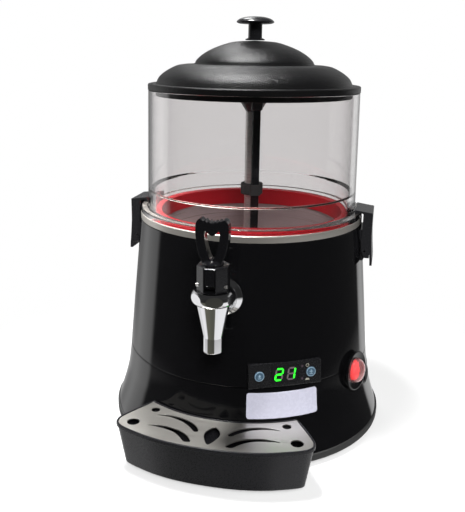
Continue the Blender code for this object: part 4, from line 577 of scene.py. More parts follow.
def paint(name, colour, rough, scale=400.0, depth=0.0, metallic=0.0, stretch=(1.0, 1.0, 1.0), drift=0.08,
          drift_scale=18.0, specks=0.0, specular=0.5, coat=0.0, detail=2.0):
    """Procedural material: drifting tone, grained roughness between two values, and grain relief."""
    found = bpy.data.materials.get(name)
    if found:
        return found
    made = bpy.data.materials.new(name)
    made.use_nodes = True
    tree = made.node_tree
    shader = tree.nodes["Principled BSDF"]
    shader.inputs["Metallic"].default_value = metallic
    shader.inputs["Specular IOR Level"].default_value = specular
    shader.inputs["Coat Weight"].default_value = coat
    tone = add_node(tree, "ShaderNodeGroup", node_tree=tone_group(), location=(-520, 240))
    tone.inputs["Base"].default_value = tuple(colour)
    tone.inputs["Drift"].default_value = drift
    tone.inputs["Scale"].default_value = drift_scale
    tone.inputs["Specks"].default_value = specks
    grain = add_node(tree, "ShaderNodeGroup", node_tree=surface_group(), location=(-520, -60))
    grain.inputs["Stretch"].default_value = stretch
    grain.inputs["Scale"].default_value = scale
    grain.inputs["Detail"].default_value = detail
    grain.inputs["Low"].default_value = rough[0]
    grain.inputs["High"].default_value = rough[1]
    grain.inputs["Depth"].default_value = depth
    tree.links.new(tone.outputs["Color"], shader.inputs["Base Color"])
    tree.links.new(grain.outputs["Value"], shader.inputs["Roughness"])
    if depth:
        tree.links.new(grain.outputs["Normal"], shader.inputs["Normal"])
    return made


def clear(name, colour, ior=1.47, rough=(0.0, 0.012), share=1.0):
    """Clear plastic: lamps shine through it, its own reflections stay."""
    found = bpy.data.materials.get(name)
    if found:
        return found
    made = paint(name, colour, rough, scale=60.0, drift=0.012, drift_scale=9.0)
    tree = made.node_tree
    shader = tree.nodes["Principled BSDF"]
    shader.inputs["IOR"].default_value = ior
    shader.inputs["Transmission Weight"].default_value = share
    output = tree.nodes["Material Output"]
    path = add_node(tree, "ShaderNodeLightPath", location=(60, 420))
    open_way = add_node(tree, "ShaderNodeBsdfTransparent", location=(60, -320))
    mix = add_node(tree, "ShaderNodeMixShader", location=(320, 120))
    tree.links.new(path.outputs["Is Shadow Ray"], mix.inputs[0])
    tree.links.new(shader.outputs[0], mix.inputs[1])
    tree.links.new(open_way.outputs[0], mix.inputs[2])
    tree.links.new(mix.outputs[0], output.inputs["Surface"])
    return made


def glowing(name, colour, strength):
    made = bpy.data.materials.get(name)
    if made:
        return made
    made = paint(name, colour, (0.25, 0.35), scale=300.0, drift=0.06, drift_scale=120.0)
    shader = made.node_tree.nodes["Principled BSDF"]
    tone = next(node for node in made.node_tree.nodes if node.type == "GROUP" and "Color" in node.outputs)
    made.node_tree.links.new(tone.outputs["Color"], shader.inputs["Emission Color"])
    shader.inputs["Emission Strength"].default_value = strength
    return made


def shell_black():
    return paint("polished_shell", colours().shell, (0.05, 0.09), scale=90.0, depth=0.00001, drift=0.15,
                 specks=0.02)


def base_black():
    return paint("base_plastic", colours().base, (0.42, 0.55), scale=900.0, depth=0.00012, specks=0.05)


def rubber():
    return paint("foot_rubber", colours().rubber, (0.7, 0.85), scale=700.0, depth=0.00015, specks=0.1)


def lid_black():
    return paint("grained_lid", colours().lid, (0.28, 0.36), scale=1100.0, depth=0.0004, drift=0.1,
                 specular=0.2, detail=1.0)


def knob_black():
    return paint("satin_knob", colours().knob, (0.2, 0.28), scale=500.0, depth=0.00004, specular=0.4)


def latch_black():
    return paint("satin_latch", colours().latch, (0.2, 0.28), scale=800.0, depth=0.00006, specks=0.03)


def tray_black():
    return paint("tray_plastic", colours().tray, (0.24, 0.34), scale=900.0, depth=0.00008, specks=0.02,
                 specular=0.26)


def lever_black():
    return paint("glossy_lever", colours().lever, (0.07, 0.12), scale=120.0, depth=0.00002)


def bonnet_black():
    return paint("satin_bonnet", colours().lever, (0.26, 0.34), scale=700.0, depth=0.00005)


def band_steel():
    return paint("brushed_band", (0.53, 0.505, 0.465, 1.0), (0.34, 0.46), scale=9.0, metallic=0.78,
                 stretch=(1.0, 1.0, 260.0), depth=0.000004, drift=0.05, detail=3.0)


def grille_steel():
    return paint("brushed_grille", (0.6, 0.58, 0.54, 1.0), (0.3, 0.42), scale=8.0, metallic=0.92,
                 stretch=(2.0, 160.0, 1.0), depth=0.000002, drift=0.04, detail=3.0)


def pan_steel():
    return paint("drawn_pan", colours().inner_steel, (0.26, 0.38), scale=8.0, metallic=0.5,
                 stretch=(1.0, 1.0, 180.0), depth=0.00001, drift=0.06, detail=3.0)


def rod_steel():
    return paint("turned_steel", (0.66, 0.64, 0.62, 1.0), (0.24, 0.36), scale=8.0, metallic=0.85,
                 stretch=(1.0, 1.0, 220.0), depth=0.000006, drift=0.05, detail=3.0)


def chrome():
    return paint("polished_chrome", colours().chrome, (0.035, 0.07), scale=70.0, metallic=1.0, drift=0.02)


def cast_alloy():
    return paint("cast_alloy", (0.5, 0.5, 0.52, 1.0), (0.42, 0.56), scale=500.0, depth=0.0001, metallic=1.0)


def stir_black():
    return paint("stir_plastic", colours().latch, (0.28, 0.38), scale=600.0, depth=0.00005)


def bar_black():
    return paint("glossy_bar", colours().lever, (0.12, 0.18), scale=160.0, depth=0.00002)


def smoke_grey():
    return paint("smoky_hub", (0.045, 0.045, 0.048, 1.0), (0.14, 0.22), scale=200.0, depth=0.00002)


def panel_black():
    return paint("panel_face", colours().panel, (0.2, 0.3), scale=900.0, depth=0.00003)


def bowl_clear():
    return clear("clear_bowl_wall", colours().bowl)


def gasket_red():
    return paint("red_silicone", colours().gasket, (0.34, 0.46), scale=350.0, depth=0.00003, drift=0.06)


# Housing


def flare_path(inset, steps=6):
    s = sizes()
    low, high = s.plate_top + GAP, s.seam_z - GAP
    rough = [(s.seam_r + (s.flare_r - s.seam_r) * out - inset, low + (high - low) * up)
             for out, up in FLARE_SHARES]
    return smooth_path(rough, steps)


def flare_at(height):
    """Outer radius of the lower shell at one height."""
    path = flare_path(0.0)
    for (low_r, low_z), (high_r, high_z) in zip(path, path[1:]):
        if low_z <= height <= high_z:
            return low_r + (high_r - low_r) * (height - low_z) / (high_z - low_z)
    return sizes().flare_r


def shell_at(height):
    s = sizes()
    return s.seam_r + (s.neck_r - s.seam_r) * (height - s.seam_z) / (s.neck_z - s.seam_z)


def wrapped(work, angle, height, columns, rows):
    """Cuts a flat solid into strips and lays it on the flared shell."""
    lows = [min(v.co[k] for v in work.verts) for k in (0, 1)]
    highs = [max(v.co[k] for v in work.verts) for k in (0, 1)]
    for axis, count in ((0, columns), (1, rows)):
        for step in range(1, count):
            spot = lows[axis] + (highs[axis] - lows[axis]) * step / count
            centre = Vector((spot, 0.0, 0.0)) if axis == 0 else Vector((0.0, spot, 0.0))
            normal = Vector((1.0, 0.0, 0.0)) if axis == 0 else Vector((0.0, 1.0, 0.0))
            geom = work.verts[:] + work.edges[:] + work.faces[:]
            bmesh.ops.bisect_plane(work, geom=geom, plane_co=centre, plane_no=normal, dist=0.000001)
    middle = flare_at(height)
    for vert in work.verts:
        x, y, out = vert.co
        z = height + y
        direction = heading(angle + x / middle)
        vert.co = direction * (flare_at(z) + out) + Vector((0.0, 0.0, z))
    return finish_solid(work)


def build_base():
    """Floor plate with its vents, and the rubber feet."""
    s = sizes()
    lip = 0.1415
    plate = turned(profile(
        (0.0, s.foot_h), (s.base_r, s.foot_h, 0.0014), (s.base_r, s.plate_top, 0.0012), (lip, s.plate_top),
        (lip, s.plate_top + 0.0043, 0.0005), (lip - s.wall, s.plate_top + 0.0043, 0.0005),
        (lip - s.wall, 0.0075), (0.0, 0.0075)))
    slot = rounded([(0.046, -0.0028), (0.078, -0.0028), (0.078, 0.0028), (0.046, 0.0028)], 0.0026, 5)
    for index in range(8):
        spoke = axes_frame((0, 0, 0), heading(math.tau * (index + 0.5) / 8), (0, 0, 1))
        plate = shaped(plate, extruded(slot, 0.0, s.plate_top, spoke))
    piece("floor_plate_visual", plate, base_black(), "housing", ["floor_plate"])
    foot = ((0.0, 0.0), (0.0098, 0.0, 0.0009), (0.0115, s.foot_h - GAP, 0.0008), (0.0, s.foot_h - GAP))
    for index, side in enumerate(("front_right", "back_right", "back_left", "front_left")):
        spot = Matrix.Translation(heading(math.tau * (index + 0.5) / 4) * 0.118)
        piece("foot_" + side + "_visual", turned(profile(*foot), SMALL, spot), rubber(), "housing",
              ["foot_" + side])


def build_housing():
    """Both glossy shells, the hand slots with their lips, and the bare badge."""
    s = sizes()
    seam = s.seam_z - GAP
    spigot = s.seam_r - s.wall - 0.0004
    lower = turned(flare_path(0.0)[:-1] + profile(
        (s.seam_r, seam, 0.0006), (spigot, seam), (spigot - 0.0008, seam + 0.0048, 0.0004),
        (spigot - 0.0024, seam + 0.0048, 0.0004), (spigot - 0.0024, seam - s.wall), closed=False)
        + flare_path(s.wall, 2)[-2:0:-1] + [(s.flare_r - s.wall, s.plate_top + GAP)])
    for side in (1.0, -1.0):
        frame_out = face_frame(math.pi / 2 * side, s.base_r, 0.055)
        slot = rounded(block(0.026, 0.005), 0.0042, 6)
        lower = shaped(lower, extruded(slot, -0.075, s.base_r, frame_out))
    piece("lower_shell_visual", lower, shell_black(), "housing", ["lower_shell"], 24.0)
    for side, word in ((1.0, "right"), (-1.0, "left")):
        ring = extruded(rounded(block(0.0274, 0.0064), 0.0055, 8), -0.002, 0.0006)
        ring = shaped(ring, extruded(rounded(block(0.0261, 0.0051), 0.0043, 8), -0.01, 0.01))
        soften(ring, 0.0004, 3, 0.9)
        wrapped(ring, math.pi / 2 * side, 0.055, 26, 3)
        piece("hand_slot_lip_" + word, ring, shell_black(), "housing", (), 50.0)
    low = s.seam_z + GAP
    high = s.neck_z - GAP
    upper = turned(profile(
        (s.seam_r, low, 0.0007), (shell_at(high), high, 0.0009), (0.1128, high), (0.1128, high - s.wall),
        (shell_at(high - s.wall) - s.wall, high - s.wall), (s.seam_r - s.wall, low)))
    piece("upper_shell_visual", upper, shell_black(), "housing", ["upper_shell"])
    plate = extruded(rounded(block(s.badge_half_w, s.badge_half_h), 0.0029, 8), -0.0002, 0.0007)
    soften(plate, 0.0003, 3, 0.9, lambda edge: min(v.co.z for v in edge.verts) > 0.0005)
    wrapped(plate, s.badge_turn, s.badge_z, 30, 8)
    finish = paint("badge_enamel", colours().badge, (0.24, 0.3), scale=300.0, drift=0.012,
                   drift_scale=12.0, coat=0.2)
    piece("badge_plate", plate, finish, "housing", (), 40.0)


def build_steel():
    """Steel band, drink pan and stirrer tube."""
    s = sizes()
    skirt = s.neck_r - 0.0014
    under = s.band_top - 0.0014
    throat = s.throat_r + SHEET + GAP
    band = turned(profile(
        (s.neck_r, s.neck_z, 0.0004), (s.neck_r, s.band_top, 0.0013), (throat, s.band_top, 0.0003),
        (throat, under), (skirt, under, 0.0004), (skirt, s.neck_z, 0.0004)))
    piece("steel_band_visual", band, band_steel(), "housing", ["steel_band"])
    out = s.throat_r + SHEET
    flange = s.band_top - 0.0014 - GAP
    hole = s.tube_r + GAP
    pan = turned(profile(
        (s.throat_r, s.band_top, 0.0003), (s.throat_r, s.pan_floor, 0.0055), (hole, s.pan_floor),
        (hole, s.pan_floor - SHEET), (out, s.pan_floor - SHEET, 0.0065), (out, flange - SHEET),
        (0.108, flange - SHEET), (0.108, flange), (out, flange), (out, s.band_top, 0.0003), steps=8))
    bore = extruded(circle(0.0083, SMALL), -0.075, s.base_r, face_frame(0.0, s.base_r, 0.1735))
    piece("drink_pan_visual", shaped(pan, bore), pan_steel(), "housing", ["drink_pan"])
    low = 0.1293
    tube = turned(profile(
        (0.0058, low), (0.0165, low, 0.0005), (0.0165, low + 0.0028, 0.0005), (s.tube_r, low + 0.0028, 0.0008),
        (s.tube_r, s.tube_top, 0.0004), (0.0058, s.tube_top)), SMALL)
    piece("drive_tube_visual", tube, rod_steel(), "housing", ["drive_tube"])


def build_drive():
    """Motor, gearbox, bracket, tank and heating ring inside the housing."""
    top = 0.096
    can = joined(
        turned(profile(
            (0.0, 0.0388), (0.011, 0.0388, 0.001), (0.011, 0.0423), (0.0285, 0.0423, 0.0022),
            (0.0285, top, 0.0014), (0.0, top)), MIDDLE),
        *[turned(profile((0.0287, z), (0.0292, z, 0.0003), (0.0292, z + 0.0012, 0.0003), (0.0287, z + 0.0012)),
                 MIDDLE) for z in (0.052, 0.084)])
    finish = paint("motor_enamel", (0.03, 0.03, 0.034, 1.0), (0.38, 0.5), scale=300.0, depth=0.00008)
    piece("stir_motor_visual", can, finish, "housing", ["stir_motor"])
    box = turned(profile(
        (0.0, 0.0963), (0.034, 0.0963, 0.0015), (0.034, 0.129, 0.0015), (0.0045, 0.129), (0.0045, 0.115),
        (0.0, 0.115)), MIDDLE)
    for index in range(6):
        spot = Matrix.Translation(heading(math.tau * (index + 0.5) / 6) * 0.0295)
        box = joined(box, turned(profile(
            (0.0, 0.1285), (0.0024, 0.1285), (0.0024, 0.1298, 0.0003), (0.0, 0.1298)), 24, spot))
    piece("gearbox_visual", box, cast_alloy(), "housing", ["gearbox"])
    nodes = frame["nodes"]
    for name, finish in (
            ("motor_bracket", cast_alloy()), ("water_tank", pan_steel()), ("heating_ring", rod_steel()),
            ("drive_shaft", rod_steel()), ("tap_lock_nut", rod_steel()), ("shank_seal", rubber()),
            ("control_board", paint("board_green", (0.02, 0.13, 0.05, 1.0), (0.35, 0.5), scale=500.0,
                                    depth=0.00004, specks=0.5))):
        slots = nodes[name].data.materials
        slots.clear()
        slots.append(finish)


def build_bowl():
    """Clear bowl and its red gasket."""
    s = sizes()
    low = s.band_top + GAP
    lip = 0.1065
    share = (0.2545 - s.bowl_flange_top) / (s.bowl_top - s.bowl_flange_top)
    ledge = s.bowl_foot_r + (s.bowl_top_r - s.bowl_foot_r) * share - s.bowl_wall
    bowl = turned(profile(
        (lip, low), (s.bowl_flange_r, low, 0.0006), (s.bowl_flange_r, s.bowl_flange_top, 0.0012),
        (s.bowl_foot_r, s.bowl_flange_top, 0.0016), (s.bowl_top_r, s.bowl_top, 0.0008),
        (s.bowl_top_r - s.bowl_wall, s.bowl_top, 0.0008), (ledge, 0.2545, 0.0012),
        (0.1045, 0.2529, 0.0012), (0.1037, 0.2521), (0.1037, 0.2327), (lip, 0.2327)))
    piece("clear_bowl_visual", bowl, bowl_clear(), "housing", ["clear_bowl"])
    sleeve = s.throat_r - GAP
    gasket = turned(profile(
        (0.0966, 0.2146, 0.0004), (sleeve, 0.2146, 0.0004), (sleeve, low), (0.1062, low, 0.0003),
        (0.1062, 0.2324, 0.0011), (0.0966, 0.2324, 0.0009)))
    piece("bowl_gasket_visual", gasket, gasket_red(), "housing", ["bowl_gasket"])


def build_stirrer():
    """Hub, bar, guide clip and paddle that turn about the tube."""
    s = sizes()
    spoke = axes_frame((0, 0, 0), heading(s.stir_turn), (0, 0, 1))
    hub = turned(profile(
        (0.0045, 0.3337), (s.tube_r, 0.3337, 0.0005), (0.0131, 0.342, 0.0018), (0.0131, 0.3459, 0.0016),
        (0.0095, 0.3492, 0.0016), (0.0, 0.3492), (0.0, 0.3408), (0.0045, 0.3408)), SMALL)
    lug = extruded(rounded(block(0.0036, 0.0056, (0.0114, 0.0)), 0.0014, 4), 0.3355, 0.3442, spoke)
    hub = shaped(hub, soften(lug, 0.0007, 3, 0.8), "UNION")
    piece("stirrer_hub_visual", hub, smoke_grey(), "stirrer", ["stirrer_hub"], 40.0)
    bar = extruded(rounded(block(0.0021, 0.0041, (0.0113, 0.0)), 0.0009, 4), 0.1665, 0.3405, spoke)
    piece("stirrer_bar_visual", soften(bar, 0.0005, 3, 0.9), bar_black(), "stirrer", ["stirrer_bar"],
          50.0)
    clip = turned(profile(
        (0.0082, 0.2465), (0.0118, 0.2465, 0.001), (0.0118, 0.2583, 0.001), (0.0082, 0.2583)), SMALL)
    lug = extruded(rounded(block(0.0035, 0.0057, (0.0115, 0.0)), 0.0014, 4), 0.2465, 0.2583, spoke)
    clip = shaped(clip, soften(lug, 0.0006, 3, 0.8), "UNION")
    piece("guide_clip_visual", clip, stir_black(), "stirrer", ["guide_clip"], 40.0)
    ring = turned(profile(
        (0.0082, 0.1605), (0.0125, 0.1605, 0.0008), (0.0125, 0.1745, 0.001), (0.0082, 0.1745)), SMALL)
    for side in (1.0, -1.0):
        front, back = [], []
        for step in range(17):
            share = step / 16
            along = 0.0112 + (0.086 - 0.0112) * share
            bend = 0.016 * math.sin(math.pi * share) * 0.45
            front.append((along, bend - 0.0012))
            back.append((along, bend + 0.0012))
        turned_in = axes_frame((0, 0, 0), heading(s.stir_turn + side * math.pi / 2), (0, 0, 1))
        blade = extruded(front + back[::-1], 0.1605, 0.1682, turned_in)
        ring = shaped(ring, soften(blade, 0.0005, 3, 0.9), "UNION")
    lug = extruded(rounded(block(0.0035, 0.0057, (0.0115, 0.0)), 0.0014, 4), 0.1605, 0.1745, spoke)
    ring = shaped(ring, soften(lug, 0.0006, 3, 0.8), "UNION")
    piece("stirrer_paddle_visual", ring, stir_black(), "stirrer", ["stirrer_paddle"], 40.0)


def build_lid():
    """Grained two-step lid and its knob."""
    s = sizes()
    low = s.bowl_top + 0.0004
    rim = low + s.lid_rim_h
    step = rim + s.lower_dome_h
    crown = step + s.upper_dome_h
    wall = 0.0028
    lower = smooth_path([(s.lower_dome_r * out, rim + s.lower_dome_h * up) for out, up in LOWER_DOME_SHARES])
    upper = smooth_path([(s.step_r * out, step + s.upper_dome_h * up) for out, up in UPPER_DOME_SHARES])
    outer = profile(
        (s.lid_r, low, 0.0008), (s.lid_r, rim, 0.0014), (s.lower_dome_r + 0.0006, rim - 0.0001),
        closed=False)[1:]
    outer += lower + profile(
        (s.step_r + 0.0014, step - 0.0002), (s.step_r + 0.0002, step - 0.0009, 0.0004),
        (s.step_r - 0.0004, step + 0.0006), closed=False)
    inner = [(x - wall * 0.3, z - wall) for x, z in upper[:-1]][::-3]
    inner += [(s.step_r - wall, step - wall)] + [(x - wall, z - wall) for x, z in lower[::-4]]
    outline = outer + upper + [(0.0, crown - wall)] + inner + profile(
        (0.0988, rim - wall), (0.0988, low - 0.006, 0.0008), (0.1012, low - 0.006, 0.0008), (0.1012, low),
        (s.lid_r, low), closed=False)
    piece("lid_visual", turned(outline), lid_black(), "lid", ["lid"])
    foot = crown + GAP
    cap_h = s.knob_top - s.knob_under
    cap = smooth_path([(s.knob_r * out, s.knob_under + cap_h * up) for out, up in KNOB_CAP_SHARES])
    knob = turned(profile(
        (0.0, foot), (0.0098, foot, 0.0004), (0.0098, foot + 0.0011, 0.0004), (0.007, foot + 0.0022, 0.001),
        (0.007, s.knob_under, 0.0008), cap[0], closed=False) + cap[1:], MIDDLE)
    piece("lid_knob_visual", knob, knob_black(), "lid", ["lid_knob"])


def build_latches():
    """The two side latches with brackets and pins."""
    half = 0.020
    fall = 0.2368 - 0.1815
    back = smooth_path([(0.1302 + 0.0024 * out, 0.2368 - fall * down) for out, down in LATCH_BACK_SHARES], 4)
    inner = [(x - 0.0025, min(z, 0.2368 - 0.0025)) for x, z in back]
    outline = [(0.1121, 0.2394)] + back + inner[::-1] + [(0.1147, 0.2369), (0.1147, 0.235), (0.1121, 0.235)]
    cheek = rounded(
        [(0.1237, 0.1893), (0.1292, 0.1893), (0.129, 0.2372), (0.1206, 0.2372), (0.1206, 0.212),
         (0.1196, 0.2085), (0.121, 0.1965)],
        [0.0006, 0.0, 0.0, 0.0, 0.001, 0.002, 0.0015], 4)
    for side, word in ((-1.0, "left"), (1.0, "right")):
        place = side_frame(side)
        lever = extruded(outline, -half, half, place)
        for near, far in ((-half, -half + 0.0025), (half - 0.0025, half)):
            lever = shaped(lever, extruded(cheek, near, far, place), "UNION")
        soften(lever, 0.0005, 3, 0.6)
        piece("latch_" + word + "_visual", lever, latch_black(), "latch_" + word, ["latch_" + word],
              35.0)
        bracket = extruded(rounded(
            [(0.11, 0.1856), (0.1229, 0.1856), (0.1256, 0.1925), (0.1256, 0.206), (0.1236, 0.2185),
             (0.11, 0.2185)], [0.0, 0.0015, 0.002, 0.002, 0.0015, 0.0], 4), -0.0171, 0.0171, place)
        soften(bracket, 0.0005, 3, 0.9)
        piece("latch_bracket_" + word + "_visual", bracket, latch_black(), "housing",
              ["latch_bracket_" + word], 40.0)
        across = axes_frame((side * 0.124, 0.0, 0.1965), (1, 0, 0), (0, 1, 0))
        pin = turned(profile(
            (0.0, -half), (0.0015, -half, 0.0005), (0.0015, half, 0.0005), (0.0, half)), 32, across)
        piece("latch_pin_" + word + "_visual", pin, rod_steel(), "housing", ["latch_pin_" + word])


def build_tap():
    """Chrome tap body, its flange, the black bonnet, the lever and the valve."""
    s = sizes()
    place = tap_frame()
    mid = (s.ring_low + s.ring_top) / 2
    body = turned(profile(
        (0.0062, s.spout_low), (s.spout_r, s.spout_low, 0.0011), (s.spout_r, 0.1485, 0.006),
        (s.cone_r, s.cone_top, 0.0006), (0.0153, mid), (0.0095, mid), (0.0095, 0.168), (0.0062, 0.168),
        steps=8), MIDDLE, place)
    bulge = smooth_path([
        (s.ring_r * 0.86, s.ring_low), (s.ring_r * 0.925, s.ring_low + 0.0014), (s.ring_r * 0.98, mid - 0.0026),
        (s.ring_r, mid), (s.ring_r * 0.98, mid + 0.0026), (s.ring_r * 0.925, s.ring_top - 0.0014),
        (s.ring_r * 0.86, s.ring_top)], 5)
    ring = turned([(0.0095, s.ring_low)] + bulge + [(0.0095, s.ring_top)], MIDDLE)
    for index in range(6):
        normal = heading(math.radians(16.5) + math.tau * index / 6)
        geom = ring.verts[:] + ring.edges[:] + ring.faces[:]
        cut = bmesh.ops.bisect_plane(
            ring, geom=geom, plane_co=normal * 0.01815, plane_no=normal, clear_outer=True, dist=0.000001)
        rim = [part for part in cut["geom_cut"] if isinstance(part, bmesh.types.BMEdge)]
        bmesh.ops.contextual_create(ring, geom=rim)
    bmesh.ops.transform(ring, matrix=place, verts=ring.verts[:])
    finish_solid(ring)
    out = face_frame(0.0, 0.0, 0.1735)
    shank = turned(profile(
        (0.0052, 0.0892), (0.008, 0.0892, 0.0006), (0.008, s.tap_reach - 0.01), (0.0052, s.tap_reach - 0.01)),
        SMALL, out)
    piece("tap_body_visual", joined(body, ring, shank), chrome(), "housing", ["tap_body"], 30.0)
    near = shell_at(0.1735 - 0.019) + GAP
    flange = turned(profile(
        (0.0083, near), (0.019, near, 0.0006), (0.019, near + 0.0032, 0.0016), (0.0142, near + 0.0062, 0.001),
        (0.0142, near + 0.0092, 0.0012), (0.0083, near + 0.0092)), MIDDLE, out)
    nut = extruded(circle(0.0126, 6, first=0.5), near + 0.0088, near + 0.0142)
    nut = shaped(soften(nut, 0.0007, 3, 0.6), extruded(circle(0.0083, SMALL), -0.2, 0.3))
    bmesh.ops.transform(nut, matrix=out, verts=nut.verts[:])
    piece("tap_flange_visual", joined(flange, nut), chrome(), "housing", ["tap_flange"], 30.0)
    bonnet = extruded(circle(s.bonnet_r, 8, first=0.5), s.ring_top + GAP, s.bonnet_top)
    soften(bonnet, 0.0016, 4, 0.6, lambda edge: min(v.co.z for v in edge.verts) > s.bonnet_top - 0.0005)
    soften(bonnet, 0.0006, 3, 0.6, lambda edge: abs(edge.verts[0].co.z - edge.verts[1].co.z) > 0.01)
    slot = extruded(block(0.005, 0.05, (0.0, -0.05 + 0.0108)), s.ring_top + 0.0006, s.bonnet_top + 0.01)
    bonnet = shaped(bonnet, slot)
    bmesh.ops.transform(bonnet, matrix=place, verts=bonnet.verts[:])
    piece("tap_bonnet_visual", bonnet, bonnet_black(), "housing", ["tap_bonnet"], 40.0)
    pin_frame = axes_frame((0.0, -s.tap_reach - 0.0065, 0.198), (0, -1, 0), (1, 0, 0))
    pin = turned(profile(
        (0.0, -0.0141), (0.0016, -0.0141, 0.0006), (0.0016, 0.0141, 0.0006), (0.0, 0.0141)), 32, pin_frame)
    piece("tap_pivot_pin_visual", pin, rod_steel(), "housing", ["tap_pivot_pin"])


def build_lever():
    """Loop lever with its fork."""
    s = sizes()
    tall = s.lever_top - s.lever_low
    out = smooth_path([(s.lever_half_w * x, s.lever_low + tall * y) for x, y in LEVER_OUT_SHARES], 4)
    hole = smooth_path([(s.lever_half_w * x, s.lever_low + tall * y) for x, y in LEVER_HOLE_SHARES], 4)
    facing = axes_frame((0.0, -s.tap_reach, 0.0), (1, 0, 0), (0, -1, 0))
    loop = extruded(mirrored(out), -0.0032, 0.0068)
    loop = shaped(loop, extruded(mirrored(hole), -0.01, 0.014))
    soften(loop, 0.0022, 5, 1.2)
    bmesh.ops.transform(loop, matrix=facing, verts=loop.verts[:])
    pivot = Vector((0.0, -s.tap_reach - 0.0065, 0.198))
    side = Matrix.Translation(pivot) @ Matrix(((0, 0, 1), (-1, 0, 0), (0, 1, 0))).to_4x4()
    neck = extruded(rounded([(-0.002, 0.0), (0.004, 0.0), (0.004, 0.0203), (-0.002, 0.0203)], 0.0008), -0.0045,
                    0.0045, side)
    eye = extruded(circle(0.004, 32), -0.0045, 0.0045, side)
    face = extruded(rounded([(0.001, 0.001), (0.0071, 0.001), (0.0071, 0.0172), (0.001, 0.0172)],
                            [0.0, 0.0006, 0.0014, 0.0]), -0.0045, 0.0045, side)
    collar = turned(profile(
        (0.0, 0.2148, 0.0), (0.0088, 0.2148, 0.0014), (0.0098, 0.2175, 0.002), (0.0072, 0.2205, 0.0012),
        (0.0, 0.2205)), SMALL, Matrix.Translation(Vector((0.0, -s.tap_reach - 0.002, 0.0))))
    arms = []
    for near, far in ((-0.0045, -0.0023), (0.0023, 0.0045)):
        arm = rounded([(0.0, -0.002), (0.0, 0.001), (-0.0065, 0.001), (-0.0065, -0.002)], 0.0004)
        arms.append(extruded(arm, near, far, side))
        arms.append(extruded(circle(0.002, 24, (-0.0065, 0.0)), near, far, side))
    piece("tap_lever_visual", joined(loop, neck, eye, face, collar, *arms), lever_black(), "tap_handle", ["tap_lever"],
          40.0)
    place = tap_frame()
    stem = turned(profile(
        (0.0, 0.1704), (0.0018, 0.1704, 0.0003), (0.0018, 0.2003), (0.0034, 0.2003, 0.0004),
        (0.0034, 0.2023, 0.0004), (0.0, 0.2023)), 32, place)
    piece("tap_stem_visual", stem, rod_steel(), "tap_valve", ["tap_stem"])
    cup = turned(profile(
        (0.0, 0.1683), (0.0084, 0.1683, 0.0009), (0.0084, 0.1738, 0.0006), (0.0042, 0.1738), (0.0042, 0.1754),
        (0.0021, 0.1754), (0.0021, 0.1701), (0.0, 0.1701)), SMALL, place)
    piece("tap_seat_cup_visual", cup, rubber(), "tap_valve", ["tap_seat_cup"])
    slots = frame["nodes"]["tap_spring"].data.materials
    slots.clear()
    slots.append(rod_steel())


# Tray


def grow_path(points, grow):
    moved = []
    last = len(points) - 1
    for index, point in enumerate(points):
        along = (Vector(points[min(index + 1, last)]) - Vector(points[max(index - 1, 0)])).normalized()
        moved.append((point[0] + along.y * grow, point[1] - along.x * grow))
    moved[0] = (0.0, points[0][1] - grow)
    return moved


def tray_outline(grow, rear_r, rear_angle=TRAY_REAR_TURN, steps=5):
    """Closed plan outline: rounded front and sides, rear edge following the body."""
    s = sizes()
    half = smooth_path([(s.tray_half_w * x, -s.tray_front * y) for x, y in TRAY_SIDE_SHARES], steps)
    half = grow_path(half, grow)
    kept = []
    for x, y in half:
        scale = max(math.hypot(x, y), rear_r) / math.hypot(x, y)
        kept.append((x * scale, y * scale))
    for step in range(13):
        spot = heading(rear_angle * (1.0 - step / 12)) * rear_r
        kept.append((spot.x, spot.y))
    return mirrored(kept)


def build_tray():
    """Drip tray and its steel grille."""
    s = sizes()
    rear = 0.13875
    foot_turn = 0.4712
    tuck = s.tray_top - 0.0041
    ledge = s.tray_top - 0.0022
    section = (
        ((-0.0079, 0.1535, 0.0048, foot_turn), 0.0), ((-0.0059, 0.1522, 0.0048, foot_turn), 0.0016),
        ((0.0009, rear + 0.0013, tuck, TRAY_REAR_TURN), 0.0008), ((0.0022, rear, tuck, TRAY_REAR_TURN), 0.0006),
        ((0.0022, rear, s.tray_top, TRAY_REAR_TURN), 0.0013),
        ((0.0004, 0.1403, s.tray_top, TRAY_REAR_TURN), 0.0006),
        ((0.0004, 0.1403, ledge, TRAY_REAR_TURN), 0.0), ((-0.0024, 0.14245, ledge, TRAY_REAR_TURN), 0.0005),
        ((-0.0083, 0.1546, 0.0074, foot_turn), 0.002), ((-0.0103, 0.1566, 0.0074, foot_turn), 0.0))
    points = [entry[0] for entry in section]
    radii = [entry[1] for entry in section]
    loops = []
    for grow, rear_r, z, rear_turn in rounded(points, radii, 4, False):
        loops.append([(x, y, z) for x, y in tray_outline(grow, rear_r, rear_turn, 4)])
    piece("drip_tray_visual", swept(loops), tray_black(), "tray", ["drip_tray"], 40.0)
    low = s.tray_top - 0.0019
    plate = extruded(tray_outline(0.0, 0.1407), low, low + SHEET)
    cuts = [smooth_path([(s.tray_half_w * x, -s.tray_front * y) for x, y in LEAF_SHARES], 5, True)]
    for shares in (BACK_CUT_SHARES, FRONT_CUT_SHARES):
        for side in (1.0, -1.0):
            cut = [(side * s.tray_half_w * x, -s.tray_front * y) for x, y in shares]
            cuts.append(smooth_path(cut, 4, True))
    for (x, y), radius in HOLE_SPOTS:
        for side in (1.0, -1.0):
            cuts.append(circle(radius, SMALL, (side * s.tray_half_w * x, -s.tray_front * y)))
    for cut in cuts:
        plate = shaped(plate, extruded(cut, low - 0.004, low + 0.005))
    soften(plate, 0.0002, 2, 1.2)
    piece("tray_grille_visual", plate, grille_steel(), "grille", ["tray_grille"], 40.0)


# Panel and switch


def panel_frame():
    s = sizes()
    return face_frame(s.panel_turn, 0.1314, s.panel_z, math.radians(5.5))


